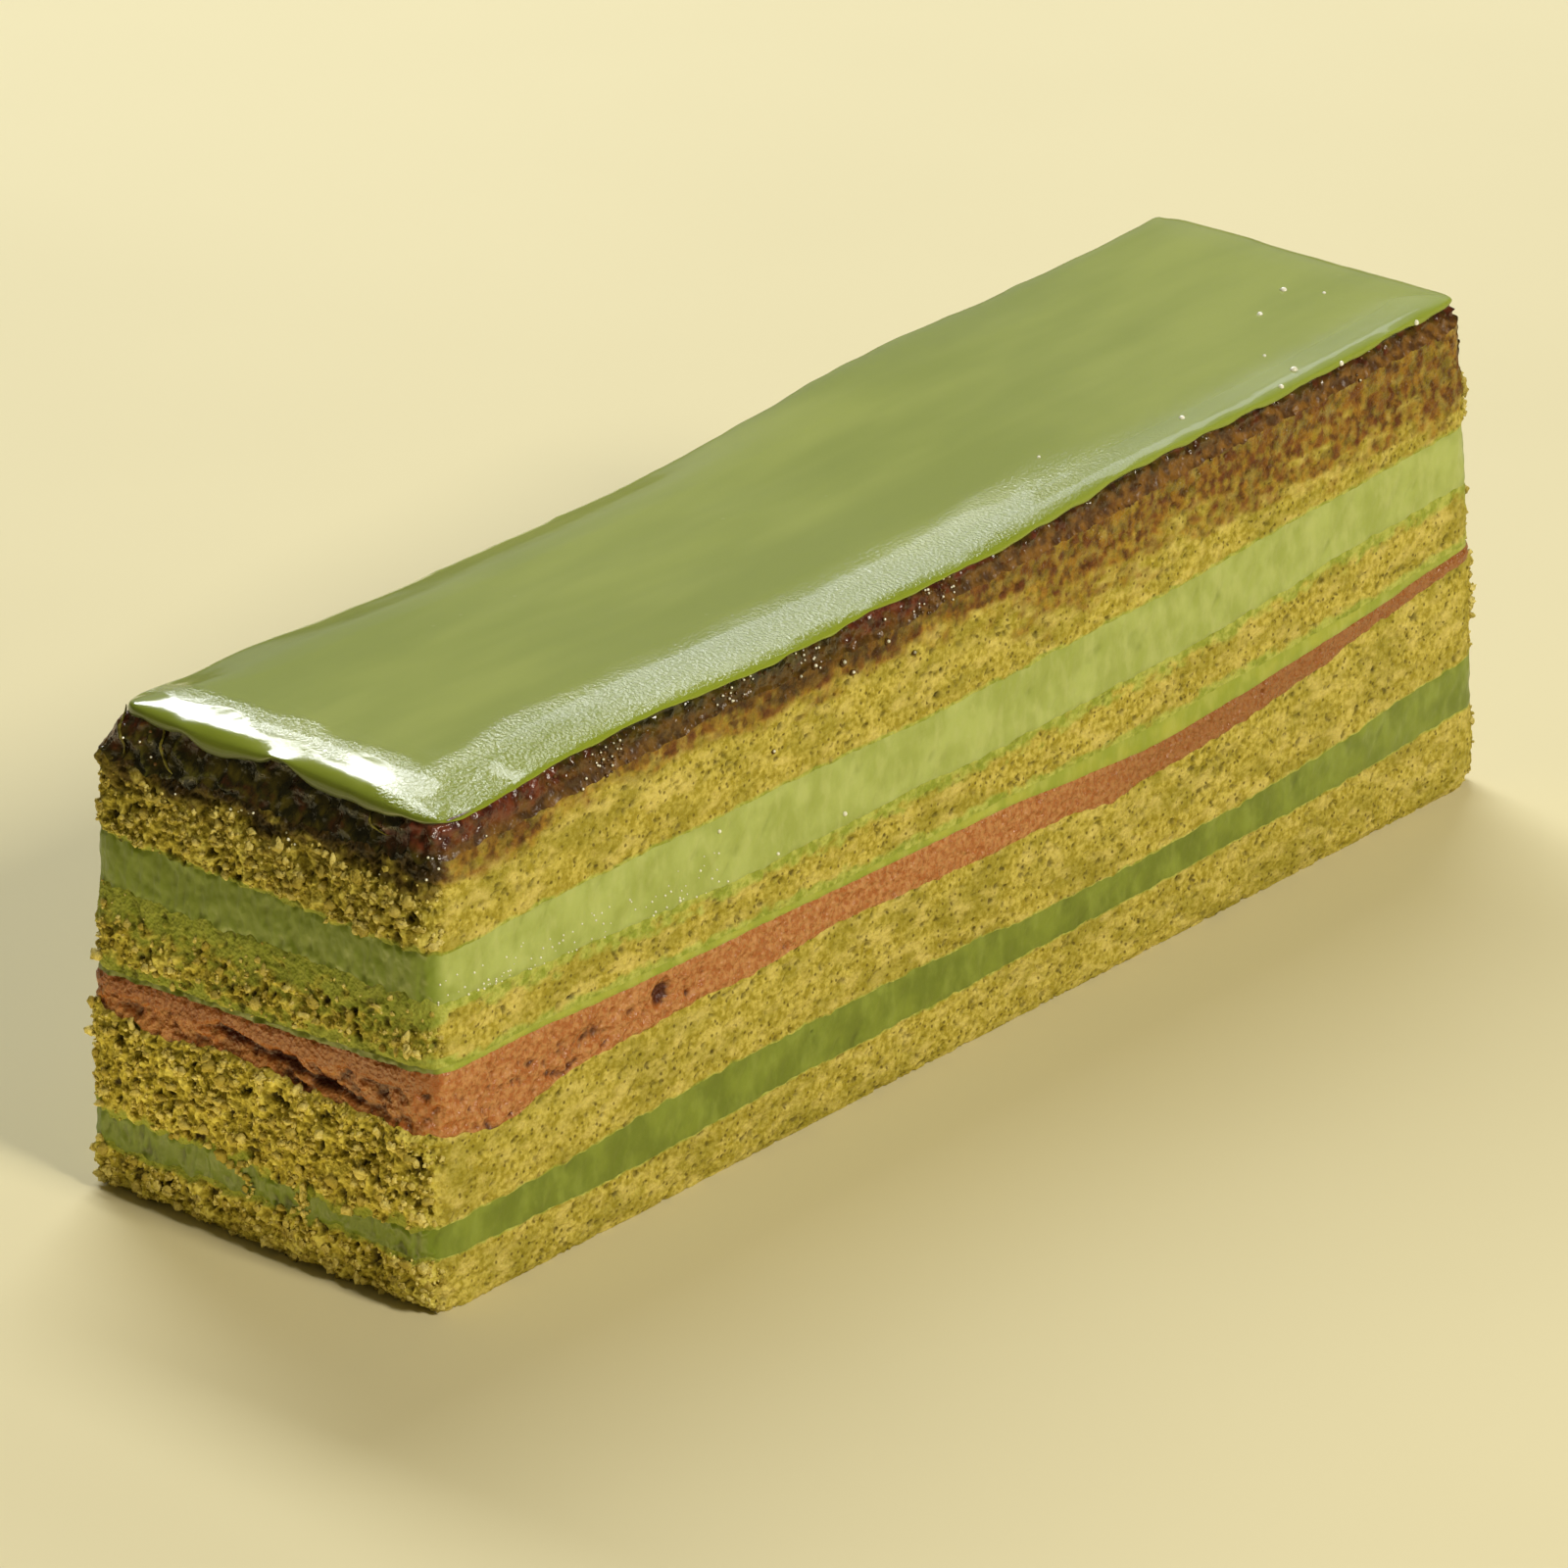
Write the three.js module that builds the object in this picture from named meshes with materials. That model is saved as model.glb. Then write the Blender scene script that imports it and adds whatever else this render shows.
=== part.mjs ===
// A green-tea opera cake: one cut bar of ten layers that lies on its flat base.
//
// Four sheets of green-tea sponge are stacked with two green creams, a red bean ganache and a thin film
// of cream between them. The top sheet carries a dark jam, and a glaze covers the jam.
//
// Millimetres, +Z up. The bar runs along Y, its near end at -Y, and X goes across it.
// The origin is the middle of the base.

import * as THREE from "three";

// ---------------------------------------------------------------------------------------------------
// Driving dimensions
// ---------------------------------------------------------------------------------------------------

const WIDTH = 35;
const LENGTH = 126.5;
const BODY_HEIGHT = 38;
const CORNER_RADIUS = 1.7;

// How far each cut face has leaned in at the body height: the ends, and the long sides at even stations
// from the near end to the far one. They lean more and more on the way up.
const NEAR_END_LEAN = 1.7;
const FAR_END_LEAN = 1.0;
const LEFT_LEAN = [0.3, 1.5, 1.6, 1.3, 1.2, 1.2, 1.3];
const RIGHT_LEAN = [0.9, 1.4, 1.9];
const LEAN_POWER = 1.4;

// The foot of the bar is rounded where it meets what it stands on: rows of points from the bottom up,
// each lying in from the face by a share of the inset.
const FOOT_INSET = { end: 1.5, side: 0.35 };
const FOOT_ROWS = [
  { height: 0, share: 1 },
  { height: 0.6, share: 0.4 },
  { height: 1.8, share: 0 },
];

const GLAZE_THICKNESS = 1.35;
const LIP_OVERHANG = 0.3;

// Relief of the cut faces: how far a point stands proud or lies back, on the short ends and the long sides.
const CRUMB = { end: 0.42, side: 0.2 };
const TORN = { end: 0.38, side: 0.2 };
const SMOOTH = { end: 0.07, side: 0.05 };

// The layers from the base up. `top` is the height of a layer's top at the right side, at even stations
// from the near end to the far one. `tilt` is how much higher that top is at the left side, at even
// stations too. `wave` is the height of its ripples, and each of its `dips` is a hollow that the
// layer above fills. A layer with a `thickness` instead follows the layer under it.
// `rows` are the rows of points on its face between its two rims, and `relief` is what that face is like.
const LAYERS = [
  {
    name: "sponge_base",
    top: [4.6, 4.3, 4.9, 5.1, 5.6, 6.0, 7.1],
    tilt: [-0.6, -0.3],
    wave: 0.12,
    rows: 1,
    relief: CRUMB,
  },
  {
    name: "cream_lower",
    top: [7.0, 7.8, 8.6, 8.3, 8.1, 9.3, 11.3],
    tilt: [-0.8, -0.5],
    wave: 0.2,
    rows: 1,
    relief: SMOOTH,
    dips: [{ x: 7, y: -63, reach: 6, down: 0.9 }],
  },
  {
    name: "sponge_lower",
    top: [14.4, 14.5, 15.3, 15.0, 15.0, 16.5, 20.0],
    tilt: [0.6, -0.6],
    wave: 0.3,
    rows: 5,
    relief: CRUMB,
    dips: [
      { x: 17.5, y: -56, reach: 5, down: 1.5 },
      { x: 17.5, y: 16.5, reach: 5, down: 0.9 },
      { x: -9.5, y: -63, reach: 3.5, down: 0.9 },
    ],
  },
  {
    name: "ganache_red",
    top: [19.1, 18.8, 18.4, 18.2, 17.3, 18.7, 20.9],
    tilt: [-1.6, -0.5],
    wave: 0.14,
    rows: 2,
    relief: TORN,
  },
  {
    name: "cream_film",
    thickness: [0.4, 0.6, 0.5, 0.7, 1.7, 1.2, 0.3],
    rows: 0,
    relief: SMOOTH,
  },
  {
    name: "sponge_upper",
    top: [24.7, 23.5, 23.2, 23.4, 23.8, 25.1, 26.4],
    tilt: [-0.3, -0.4],
    wave: 0.2,
    rows: 3,
    relief: CRUMB,
  },
  {
    name: "cream_upper",
    top: [28.2, 28.7, 28.6, 28.6, 29.2, 30.1, 31.1],
    tilt: [0.4, -0.2],
    wave: 0.12,
    rows: 2,
    relief: SMOOTH,
  },
  {
    name: "sponge_top",
    top: [35.1, 36.3, 36.7, 36.9, 37.9, 38.8, 39.4],
    tilt: [-0.3, -0.3],
    wave: 0.2,
    rows: 5,
    relief: CRUMB,
  },
  {
    name: "jam",
    top: [38.0, 38.8, 38.9, 38.9, 39.8, 40.3, 40.9],
    tilt: [0.2, -0.5, -0.3, -0.3],
    wave: 0.08,
    rows: 1,
    relief: SMOOTH,
  },
];

// The ripples of every layer's top, in radians per millimetre along and across the bar. `size` is a share
// of the layer's wave, and `phase` shifts the ripple from one layer to the next.
const RIPPLES = [
  { along: 0.21, across: 0.05, size: 0.5, phase: 1.9 },
  { along: 0.47, across: 0, size: 0.3, phase: 2.3 },
  { along: 0, across: 0.33, size: 0.5, phase: 1.3 },
];

// How far the jam's upper rim, which carries the glaze, lies in from the body's faces.
const SHOULDER = { near: 1.1, far: 0.4, left: 1.5, right: 0.4 };

// Bulges and dips of the glaze's edge. `at` runs from 0 at the near end to 1 at the far one, or from 0 at
// the left to 1 at the right on an end. `reach` is the half width of a bulge, and `out` how far it goes.
const EDGE_WAVES = [
  { face: "left", at: 0, reach: 0.08, out: -0.7 },
  { face: "left", at: 0.12, reach: 0.03, out: 0.3 },
  { face: "left", at: 0.22, reach: 0.08, out: -0.5 },
  { face: "left", at: 0.7, reach: 0.08, out: 0.4 },
  { face: "right", at: 0.13, reach: 0.06, out: -0.4 },
  { face: "right", at: 0.3, reach: 0.05, out: 0.5 },
  { face: "right", at: 0.97, reach: 0.05, out: -0.4 },
  { face: "near", at: 0, reach: 0.12, out: -0.8 },
  { face: "near", at: 0.3, reach: 0.1, out: 0.3 },
  { face: "near", at: 0.55, reach: 0.12, out: -0.3 },
  { face: "near", at: 0.85, reach: 0.1, out: 0.3 },
];

// The glaze's rows of points above the jam's upper rim: `out` from that rim, and `up` as a share of the
// glaze's thickness. The first three make the rounded lip.
const GLAZE_ROWS = [
  { out: LIP_OVERHANG, up: 0.2 },
  { out: LIP_OVERHANG, up: 0.6 },
  { out: 0.0, up: 0.92 },
  { out: -1.1, up: 1.0 },
  { out: -4.0, up: 0.97 },
];

// Each cap has a ridge of points along its middle, which stops short of the ends by this much.
const RIDGE_STOP = 14;

// Mesh density: steps along a short end, a long side and a cap's ridge.
const END_STEPS = 22;
const SIDE_STEPS = 40;
const RIDGE_STEPS = 14;

const RELIEF_SEED = 7919;

const HALF_WIDTH = WIDTH / 2;
const HALF_LENGTH = LENGTH / 2;
const RIDGE_END = HALF_LENGTH - RIDGE_STOP;

const COLOURS = {
  sponge: 0x9a8a34,
  cream: 0x86a446,
  shaded_cream: 0x587f38,
  ganache: 0xa2563a,
  jam: 0x2c120d,
  glaze: 0x6f8f3f,
};

// ---------------------------------------------------------------------------------------------------
// Helpers
// ---------------------------------------------------------------------------------------------------

// A value between -1 and 1 that depends only on its three whole numbers.
function scatter(a, b, c) {
  let h = Math.imul(a + 1, 374761393) ^ Math.imul(b + 1, 668265263) ^ Math.imul(c + 1, 2147483647);
  h = Math.imul(h ^ (h >>> 13), 1274126177);
  h ^= h >>> 16;
  return (h >>> 0) / 2147483648 - 1;
}

// A smooth curve through evenly spaced values, with t from 0 to 1 (Catmull-Rom).
function through(values, t) {
  const last = values.length - 1;
  const place = THREE.MathUtils.clamp(t, 0, 1) * last;
  const i = Math.min(Math.floor(place), last - 1);
  const f = place - i;
  const before = values[Math.max(i - 1, 0)];
  const after = values[Math.min(i + 2, last)];
  const slopeIn = (values[i + 1] - before) / 2;
  const slopeOut = (after - values[i]) / 2;
  const rise = values[i + 1] - values[i];
  const bend = 3 * rise - 2 * slopeIn - slopeOut;
  const twist = slopeIn + slopeOut - 2 * rise;
  return values[i] + f * (slopeIn + f * (bend + f * twist));
}

// 0 at the near end, 1 at the far end.
function stationOf(y) {
  return y / LENGTH + 0.5;
}

// 0 at the left side, 1 at the right side.
function acrossOf(x) {
  return x / WIDTH + 0.5;
}

// ---------------------------------------------------------------------------------------------------
// The outline of the base
// ---------------------------------------------------------------------------------------------------

// One straight stretch of the outline and the middle of the corner that follows it.
function stretch(face, steps, from, to, normal, next) {
  const points = [];
  for (let i = 0; i <= steps; i++) {
    const share = i / steps;
    points.push({
      face,
      x: THREE.MathUtils.lerp(from.x, to.x, share),
      y: THREE.MathUtils.lerp(from.y, to.y, share),
      nx: normal.x,
      ny: normal.y,
    });
  }
  const nx = (normal.x + next.x) * Math.SQRT1_2;
  const ny = (normal.y + next.y) * Math.SQRT1_2;
  const centre = { x: to.x - CORNER_RADIUS * normal.x, y: to.y - CORNER_RADIUS * normal.y };
  points.push({ face, x: centre.x + CORNER_RADIUS * nx, y: centre.y + CORNER_RADIUS * ny, nx, ny });
  return points;
}

// A rounded rectangle of points, counter-clockwise seen from above, from the near left corner.
function outline() {
  const x = HALF_WIDTH;
  const y = HALF_LENGTH;
  const r = CORNER_RADIUS;
  const near = { x: 0, y: -1 };
  const right = { x: 1, y: 0 };
  const far = { x: 0, y: 1 };
  const left = { x: -1, y: 0 };
  return [
    ...stretch("near", END_STEPS, { x: r - x, y: -y }, { x: x - r, y: -y }, near, right),
    ...stretch("right", SIDE_STEPS, { x, y: r - y }, { x, y: y - r }, right, far),
    ...stretch("far", END_STEPS, { x: x - r, y }, { x: r - x, y }, far, left),
    ...stretch("left", SIDE_STEPS, { x: -x, y: y - r }, { x: -x, y: r - y }, left, near),
  ];
}

const OUTLINE = outline();

// How much of a corner point's relief counts as that of a short end: 1 on an end, 0 on a long side.
function endShare(point) {
  return Math.abs(point.ny);
}

// ---------------------------------------------------------------------------------------------------
// Heights and places
// ---------------------------------------------------------------------------------------------------

// The faces lean in with height: what is at (x, y) on the base lies here at height z.
function leaned(x, y, z) {
  const rise = (z / BODY_HEIGHT) ** LEAN_POWER;
  const station = stationOf(y);
  const side = x < 0 ? LEFT_LEAN : RIGHT_LEAN;
  const sideLean = through(side, station);
  const endLean = y < 0 ? NEAR_END_LEAN : FAR_END_LEAN;
  return {
    x: x * (1 - (rise * sideLean) / HALF_WIDTH),
    y: y * (1 - (rise * endLean) / HALF_LENGTH),
  };
}

// The height of a layer's top over the point (x, y) of the base.
function topHeight(layer, x, y) {
  const station = stationOf(y);
  const leftShare = 1 - acrossOf(x);
  const order = LAYERS.indexOf(layer);
  if (layer.thickness) return topHeight(LAYERS[order - 1], x, y) + through(layer.thickness, station);
  let height = through(layer.top, station) + leftShare * through(layer.tilt, station);
  for (const ripple of RIPPLES) {
    const turn = ripple.along * y + ripple.across * x + ripple.phase * order;
    height += layer.wave * ripple.size * Math.sin(turn);
  }
  for (const dip of layer.dips ?? []) {
    const away = Math.hypot(x - dip.x, y - dip.y) / dip.reach;
    height -= dip.down * Math.exp(-(away ** 2));
  }
  return height;
}

// How far the glaze's edge, and the jam's rim under it, lie in from the body's face at an outline point.
function shoulderInset(point) {
  const onEnd = endShare(point);
  const end = point.y < 0 ? SHOULDER.near : SHOULDER.far;
  const side = point.x < 0 ? SHOULDER.left : SHOULDER.right;
  let inset = onEnd * end + (1 - onEnd) * side;
  for (const wave of EDGE_WAVES) {
    if (wave.face !== point.face) continue;
    const place = wave.face === "near" || wave.face === "far" ? acrossOf(point.x) : stationOf(point.y);
    inset -= wave.out * Math.exp(-(((place - wave.at) / wave.reach) ** 2));
  }
  return inset;
}

// A point of the outline at height z, moved `out` from the face.
function placed(point, z, out) {
  const at = leaned(point.x, point.y, z);
  return new THREE.Vector3(at.x + point.nx * out, at.y + point.ny * out, z);
}

// The relief of a layer's face at a point of the outline, in the given row of points.
function reliefAt(relief, index, order, row) {
  const onEnd = endShare(OUTLINE[index]);
  const depth = onEnd * relief.end + (1 - onEnd) * relief.side;
  return depth * scatter(index, row, RELIEF_SEED + order);
}

// ---------------------------------------------------------------------------------------------------
// Rims and rows of points
// ---------------------------------------------------------------------------------------------------

// The rim between a layer and the next one, which both of them use, so they meet without a gap.
function sharedRim(order) {
  const layer = LAYERS[order];
  const next = LAYERS[order + 1];
  const onShoulder = layer.name === "jam";
  return OUTLINE.map((point, index) => {
    const z = topHeight(layer, point.x, point.y);
    if (onShoulder) return placed(point, z, -shoulderInset(point));
    const calmer = layer.relief.end < next.relief.end ? layer.relief : next.relief;
    return placed(point, z, reliefAt(calmer, index, order, 0));
  });
}

// A row of the rounded foot. The lowest one, the edge of the flat base, has no relief.
function footRow({ height, share }, row) {
  return OUTLINE.map((point, index) => {
    const onEnd = endShare(point);
    const inset = onEnd * FOOT_INSET.end + (1 - onEnd) * FOOT_INSET.side;
    return placed(point, height, (1 - share) * reliefAt(CRUMB, index, 0, row + 1) - share * inset);
  });
}

// The rows between a layer's two rims, spread evenly in height, each point with its own relief.
function rowsBetween(layer, order, lower, upper) {
  const rows = [];
  for (let row = 1; row <= layer.rows; row++) {
    const share = row / (layer.rows + 1);
    rows.push(
      OUTLINE.map((point, index) => {
        const middle = lower[index].clone().lerp(upper[index], share);
        const relief = reliefAt(layer.relief, index, order, FOOT_ROWS.length + row);
        middle.x += point.nx * relief;
        middle.y += point.ny * relief;
        return middle;
      }),
    );
  }
  return rows;
}

// A rim moved `out` from the face. A row that goes in shrinks evenly, so its corners stay square.
function shifted(corner, point, out) {
  if (out >= 0) return { x: corner.x + point.nx * out, y: corner.y + point.ny * out };
  return { x: corner.x * (1 + out / HALF_WIDTH), y: corner.y * (1 + out / HALF_LENGTH) };
}

function glazeRows(rim) {
  return GLAZE_ROWS.map(({ out, up }) =>
    rim.map((corner, index) => {
      const { x, y } = shifted(corner, OUTLINE[index], out);
      return new THREE.Vector3(x, y, corner.z + up * GLAZE_THICKNESS);
    }),
  );
}

// ---------------------------------------------------------------------------------------------------
// Closed solids from rows of points
// ---------------------------------------------------------------------------------------------------

// The middle ridge of a cap: points between the facing points of the two long sides.
function ridgeOf(heightAt) {
  const points = [];
  for (let i = 0; i <= RIDGE_STEPS; i++) {
    const y = THREE.MathUtils.lerp(-RIDGE_END, RIDGE_END, i / RIDGE_STEPS);
    points.push(new THREE.Vector3(0, y, heightAt(0, y)));
  }
  return points;
}

// The outline's points that a cap joins to each ridge point: the nearest ones along the bar.
function nearestRidge(y) {
  const share = THREE.MathUtils.clamp((y + RIDGE_END) / (2 * RIDGE_END), 0, 1);
  return Math.round(share * RIDGE_STEPS);
}

// Triangles of a cap, as indices into the rim's points followed by the ridge's, seen from above.
function capTriangles(rimStart, ridgeStart) {
  const triangles = [];
  const count = OUTLINE.length;
  for (let i = 0; i < count; i++) {
    const next = (i + 1) % count;
    const here = nearestRidge(OUTLINE[i].y);
    const there = nearestRidge(OUTLINE[next].y);
    triangles.push([rimStart + i, rimStart + next, ridgeStart + here]);
    if (here !== there) triangles.push([rimStart + next, ridgeStart + there, ridgeStart + here]);
  }
  return triangles;
}

// A closed solid: a cap on the first row, bands between the rows and a cap on the last.
function stackedSolid(rows, bottomRidge, topRidge) {
  const count = OUTLINE.length;
  const points = [...rows.flat(), ...bottomRidge, ...topRidge];
  const bottomStart = rows.length * count;
  const topStart = bottomStart + bottomRidge.length;
  const triangles = capTriangles(0, bottomStart).map(([a, b, c]) => [a, c, b]);
  for (let row = 0; row + 1 < rows.length; row++) {
    for (let i = 0; i < count; i++) {
      const a = row * count + i;
      const b = row * count + ((i + 1) % count);
      const even = (row + i) % 2 === 0;
      triangles.push(even ? [a, b, b + count] : [a, b, a + count]);
      triangles.push(even ? [a, b + count, a + count] : [b, b + count, a + count]);
    }
  }
  triangles.push(...capTriangles((rows.length - 1) * count, topStart));
  const geometry = new THREE.BufferGeometry().setFromPoints(points);
  geometry.setIndex(triangles.flat());
  geometry.computeVertexNormals();
  return geometry;
}

// ---------------------------------------------------------------------------------------------------
// The layers
// ---------------------------------------------------------------------------------------------------

function material(color, roughness) {
  return new THREE.MeshStandardMaterial({ color, roughness, metalness: 0 });
}

const MATERIALS = {
  sponge_base: () => material(COLOURS.sponge, 0.9),
  cream_lower: () => material(COLOURS.shaded_cream, 0.45),
  sponge_lower: () => material(COLOURS.sponge, 0.9),
  ganache_red: () => material(COLOURS.ganache, 0.6),
  cream_film: () => material(COLOURS.cream, 0.5),
  sponge_upper: () => material(COLOURS.sponge, 0.9),
  cream_upper: () => material(COLOURS.cream, 0.45),
  sponge_top: () => material(COLOURS.sponge, 0.9),
  jam: () => material(COLOURS.jam, 0.15),
  glaze: () => material(COLOURS.glaze, 0.25),
};

function namedMesh(name, geometry) {
  const mesh = new THREE.Mesh(geometry, MATERIALS[name]());
  mesh.name = name;
  return mesh;
}

const cake = new THREE.Group();
cake.name = "opera_cake";

const footRows = FOOT_ROWS.map(footRow);
let lowerRows = footRows;
let lowerRidge = ridgeOf(() => 0);

LAYERS.forEach((layer, order) => {
  const upperRim = sharedRim(order);
  const upperRidge = ridgeOf((x, y) => topHeight(layer, x, y));
  const rows = [...lowerRows, ...rowsBetween(layer, order, lowerRows.at(-1), upperRim), upperRim];
  cake.add(namedMesh(layer.name, stackedSolid(rows, lowerRidge, upperRidge)));
  lowerRows = [upperRim];
  lowerRidge = upperRidge;
});

const glazeRidge = lowerRidge.map((point) => point.clone().setZ(point.z + GLAZE_THICKNESS));
const [jamRim] = lowerRows;
cake.add(namedMesh("glaze", stackedSolid([jamRim, ...glazeRows(jamRim)], lowerRidge, glazeRidge)));

export default cake;
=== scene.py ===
import math

import bmesh
import bpy
import numpy as np
from mathutils import Matrix, Quaternion, Vector


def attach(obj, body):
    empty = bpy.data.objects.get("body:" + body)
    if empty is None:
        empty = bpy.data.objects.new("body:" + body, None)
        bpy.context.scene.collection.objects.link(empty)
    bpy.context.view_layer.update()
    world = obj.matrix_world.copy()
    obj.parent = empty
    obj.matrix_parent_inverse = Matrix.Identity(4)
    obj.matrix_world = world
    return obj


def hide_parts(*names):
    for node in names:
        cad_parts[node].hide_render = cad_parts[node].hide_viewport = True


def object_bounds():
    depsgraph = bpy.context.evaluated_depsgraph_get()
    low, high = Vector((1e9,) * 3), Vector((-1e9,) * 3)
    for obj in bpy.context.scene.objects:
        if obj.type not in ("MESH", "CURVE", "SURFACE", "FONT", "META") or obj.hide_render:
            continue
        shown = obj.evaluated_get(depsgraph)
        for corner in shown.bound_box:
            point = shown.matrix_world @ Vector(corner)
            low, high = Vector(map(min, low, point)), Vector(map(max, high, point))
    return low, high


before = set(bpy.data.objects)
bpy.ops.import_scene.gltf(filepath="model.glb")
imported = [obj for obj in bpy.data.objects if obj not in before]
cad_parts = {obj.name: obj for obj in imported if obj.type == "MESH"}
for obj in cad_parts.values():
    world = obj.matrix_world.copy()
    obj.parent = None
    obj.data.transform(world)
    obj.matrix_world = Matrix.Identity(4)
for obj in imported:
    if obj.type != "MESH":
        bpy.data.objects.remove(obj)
cad_low, cad_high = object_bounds()

# === Sizes. Shapes are worked out in millimetres and written to the meshes in metres.

MM = 0.001
LAYERS = ["sponge_base", "cream_lower", "sponge_lower", "ganache_red", "cream_film", "sponge_upper",
          "cream_upper", "sponge_top", "jam", "glaze"]

# The corners of the box that the solids fill. Nothing of the cake leaves it.
LOW = np.array(cad_low) / MM
HIGH = np.array(cad_high) / MM
HALF_WIDTH = (HIGH[0] - LOW[0]) / 2
HALF_LENGTH = (HIGH[1] - LOW[1]) / 2

# The spacing of the mesh points: along the near end, along the right side, along the other two faces,
# up the faces and up the smoother faces of the creams.
COARSER = 1.0
NEAR_STEP = 0.12 * COARSER
RIGHT_STEP = 0.21 * COARSER
HIDDEN_STEP = 0.33 * COARSER
ROW_STEP = 0.155 * COARSER
CREAM_STEP = 1.5 * ROW_STEP

# How wide the rounding of the outline's corners is, of the glaze's corners, of the glaze's widest
# corner at the near left, and of the layers' waves.
OUTLINE_SOFTNESS = 0.7
GLAZE_SOFTNESS = 1.2
WIDEST_SOFTNESS = 3.2
WAVE_SOFTNESS = 1.6

# The ridge of every hidden cap reaches this share of the bar's length.
RIDGE_SHARE = 0.85

# Heights of the rounded foot's rows in the frame, and how near a point has to be to count as there.
FOOT_HEIGHTS = [0.6, 1.8]
NEAR_ENOUGH = 0.01

# The directions out of the outline between which one face turns into the next.
TURN = (0.35, 0.8)

# Between which places along the bar its far half sets in, and how far the near left corner reaches.
FAR_HALF = (-5, 22)
CORNER_REACH = (14, 6)

# How much a border between two layers wanders up and down, on the long sides and on the ends.
WANDER = {1: (0.16, 0.35), 2: (0.2, 0.5), 3: (0.2, 0.45), 4: (0.06, 0.12), 5: (0.08, 0.16),
          6: (0.16, 0.4), 7: (0.14, 0.3), 8: (0.3, 0.6)}

# Near a border a layer's relief fades over to the relief that both layers share there: how rough that is
# on the long sides, how much rougher on the ends, and how far it is sunk.
SEAM = 0.35
BORDER_ROUGHNESS = (0.03, 0.12)
BORDER_SUNK = 0.02

# How far a sponge is smeared with the cream above it and below it, on the long sides and on the ends.
# How much a full smear takes from the relief, from the hollows and from what crumbs can cling to.
SMEARS = {0: ((0.1, 0.4), None), 2: (None, (0.1, 0.6)), 5: ((0.9, 3.0), (0.5, 1.0)),
          7: (None, (0.2, 0.4))}
SMEAR_FILLS = 0.7
SMEAR_CLOSES = 0.4
SMEAR_STOPS = 0.9

# How torn the sponges are on the long sides next to the near end, and between which distances from it
# that fades. How far crumb may stand out, and where a face is too hollow for a loose crumb.
TORN_ALONG = 0.6
TORN_REACH = (8, 1)
PROUDEST = 0.42
TOO_HOLLOW = 0.3

# What the relief of torn and of knife-cut sponge is made of, in mm, and what of it counts as hollow.
# The finish paints hollow points darker, as painted shade, and raised torn crumb lighter, as painted
# highlight.
TORN_RELIEF = {"heap": 0.32, "cleft": -0.28, "grain": 0.12, "cell": -0.5, "pore": -0.25}
TORN_RAISED = 0.2
TORN_HOLLOW = {"cell": 0.7, "pore": 0.5, "cleft": 0.6, "heap": -0.2, "grain": -0.3}
CUT_RELIEF = {"heap": 0.06, "grain": 0.05, "pore": -0.2, "hole": -1.0}
CUT_HOLLOW = {"pore": 0.55, "hole": 1.6, "grain": -0.12}

# Values at even stations from the near end to the far one: how far below the glaze's lip the dark syrup
# has soaked, and how crusty and how red the jam is along the long sides.
# The soak reaches deeper by a share on the near end, and less deep on the far one.
SOAK_DEPTH = [5.0, 5.4, 4.4, 4.6, 5.4, 5.2, 5.8, 9.4, 8.0, 8.0, 9.0, 9.6, 9.6]
CRUST_SHARE = [0.7, 0.7, 0.7, 0.5, 0.35, 0.6, 0.8, 1.0, 1.0, 1.0, 1.0, 1.0, 1.0]
RED_SHARE = [0.9, 0.9, 0.25, 0.1, 0.1, 0.75, 0.5, 0.4, 0.4, 0.4, 0.4, 0.4, 0.5]
DEEPER_NEAR = 0.35

# Knife marks in the creams' long sides: how deep, how much they slant, and their size along each axis.
KNIFE_MARKS = (0.05, 0.8, [9, 0.9, 4])

# Pits in the red layer's right face: place along the bar, height, radius and depth.
RED_PITS = [(-37.9, 17.0, 0.9, 0.55), (-39.6, 16.0, 0.5, 0.4), (-34.6, 15.9, 0.45, 0.4),
            (-56.6, 17.2, 0.5, 0.3), (-23.9, 15.8, 0.35, 0.45)]

# Between which places along the bar the scraped part of the red layer's sides sets in, and up to which
# share of its height its ends are torn.
SCRAPED = (-20, -46)
TEAR_UP_TO = 0.56

# The groove in the red layer's near face: its two ends (place across, height), half width and depth.
GROOVE = ((-3.0, 16.6), (9.0, 15.0), 0.28, 0.6)

# The glaze's lip in section, on the ends and on the long sides' near and far parts, from the jam's rim
# round to the top: out from the rim, and up as a share of the glaze's thickness.
LIP_ON_ENDS = [(0.0, 0.0), (0.16, -0.1), (0.34, 0.0), (0.44, 0.16), (0.40, 0.29), (0.2, 0.41),
               (-0.4, 0.55), (-1.2, 0.69), (-2.1, 0.82), (-3.1, 0.92), (-4.3, 0.98), (-5.8, 1.0)]
LIP_ON_SIDES = [(0.0, 0.0), (0.1, -0.06), (0.2, 0.0), (0.24, 0.07), (0.2, 0.14), (0.02, 0.23),
                (-0.5, 0.34), (-1.3, 0.46), (-2.3, 0.59), (-3.5, 0.74), (-5.0, 0.90), (-7.2, 1.0)]
LIP_FAR_ALONG = [(0.0, 0.0), (0.08, -0.04), (0.16, 0.06), (0.2, 0.24), (0.18, 0.42), (0.08, 0.55),
                 (-0.3, 0.66), (-1.1, 0.78), (-2.2, 0.86), (-3.4, 0.91), (-4.8, 0.95), (-6.6, 0.98)]
LIP_ROWS = 34
TOP_ROWS = 26
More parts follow.
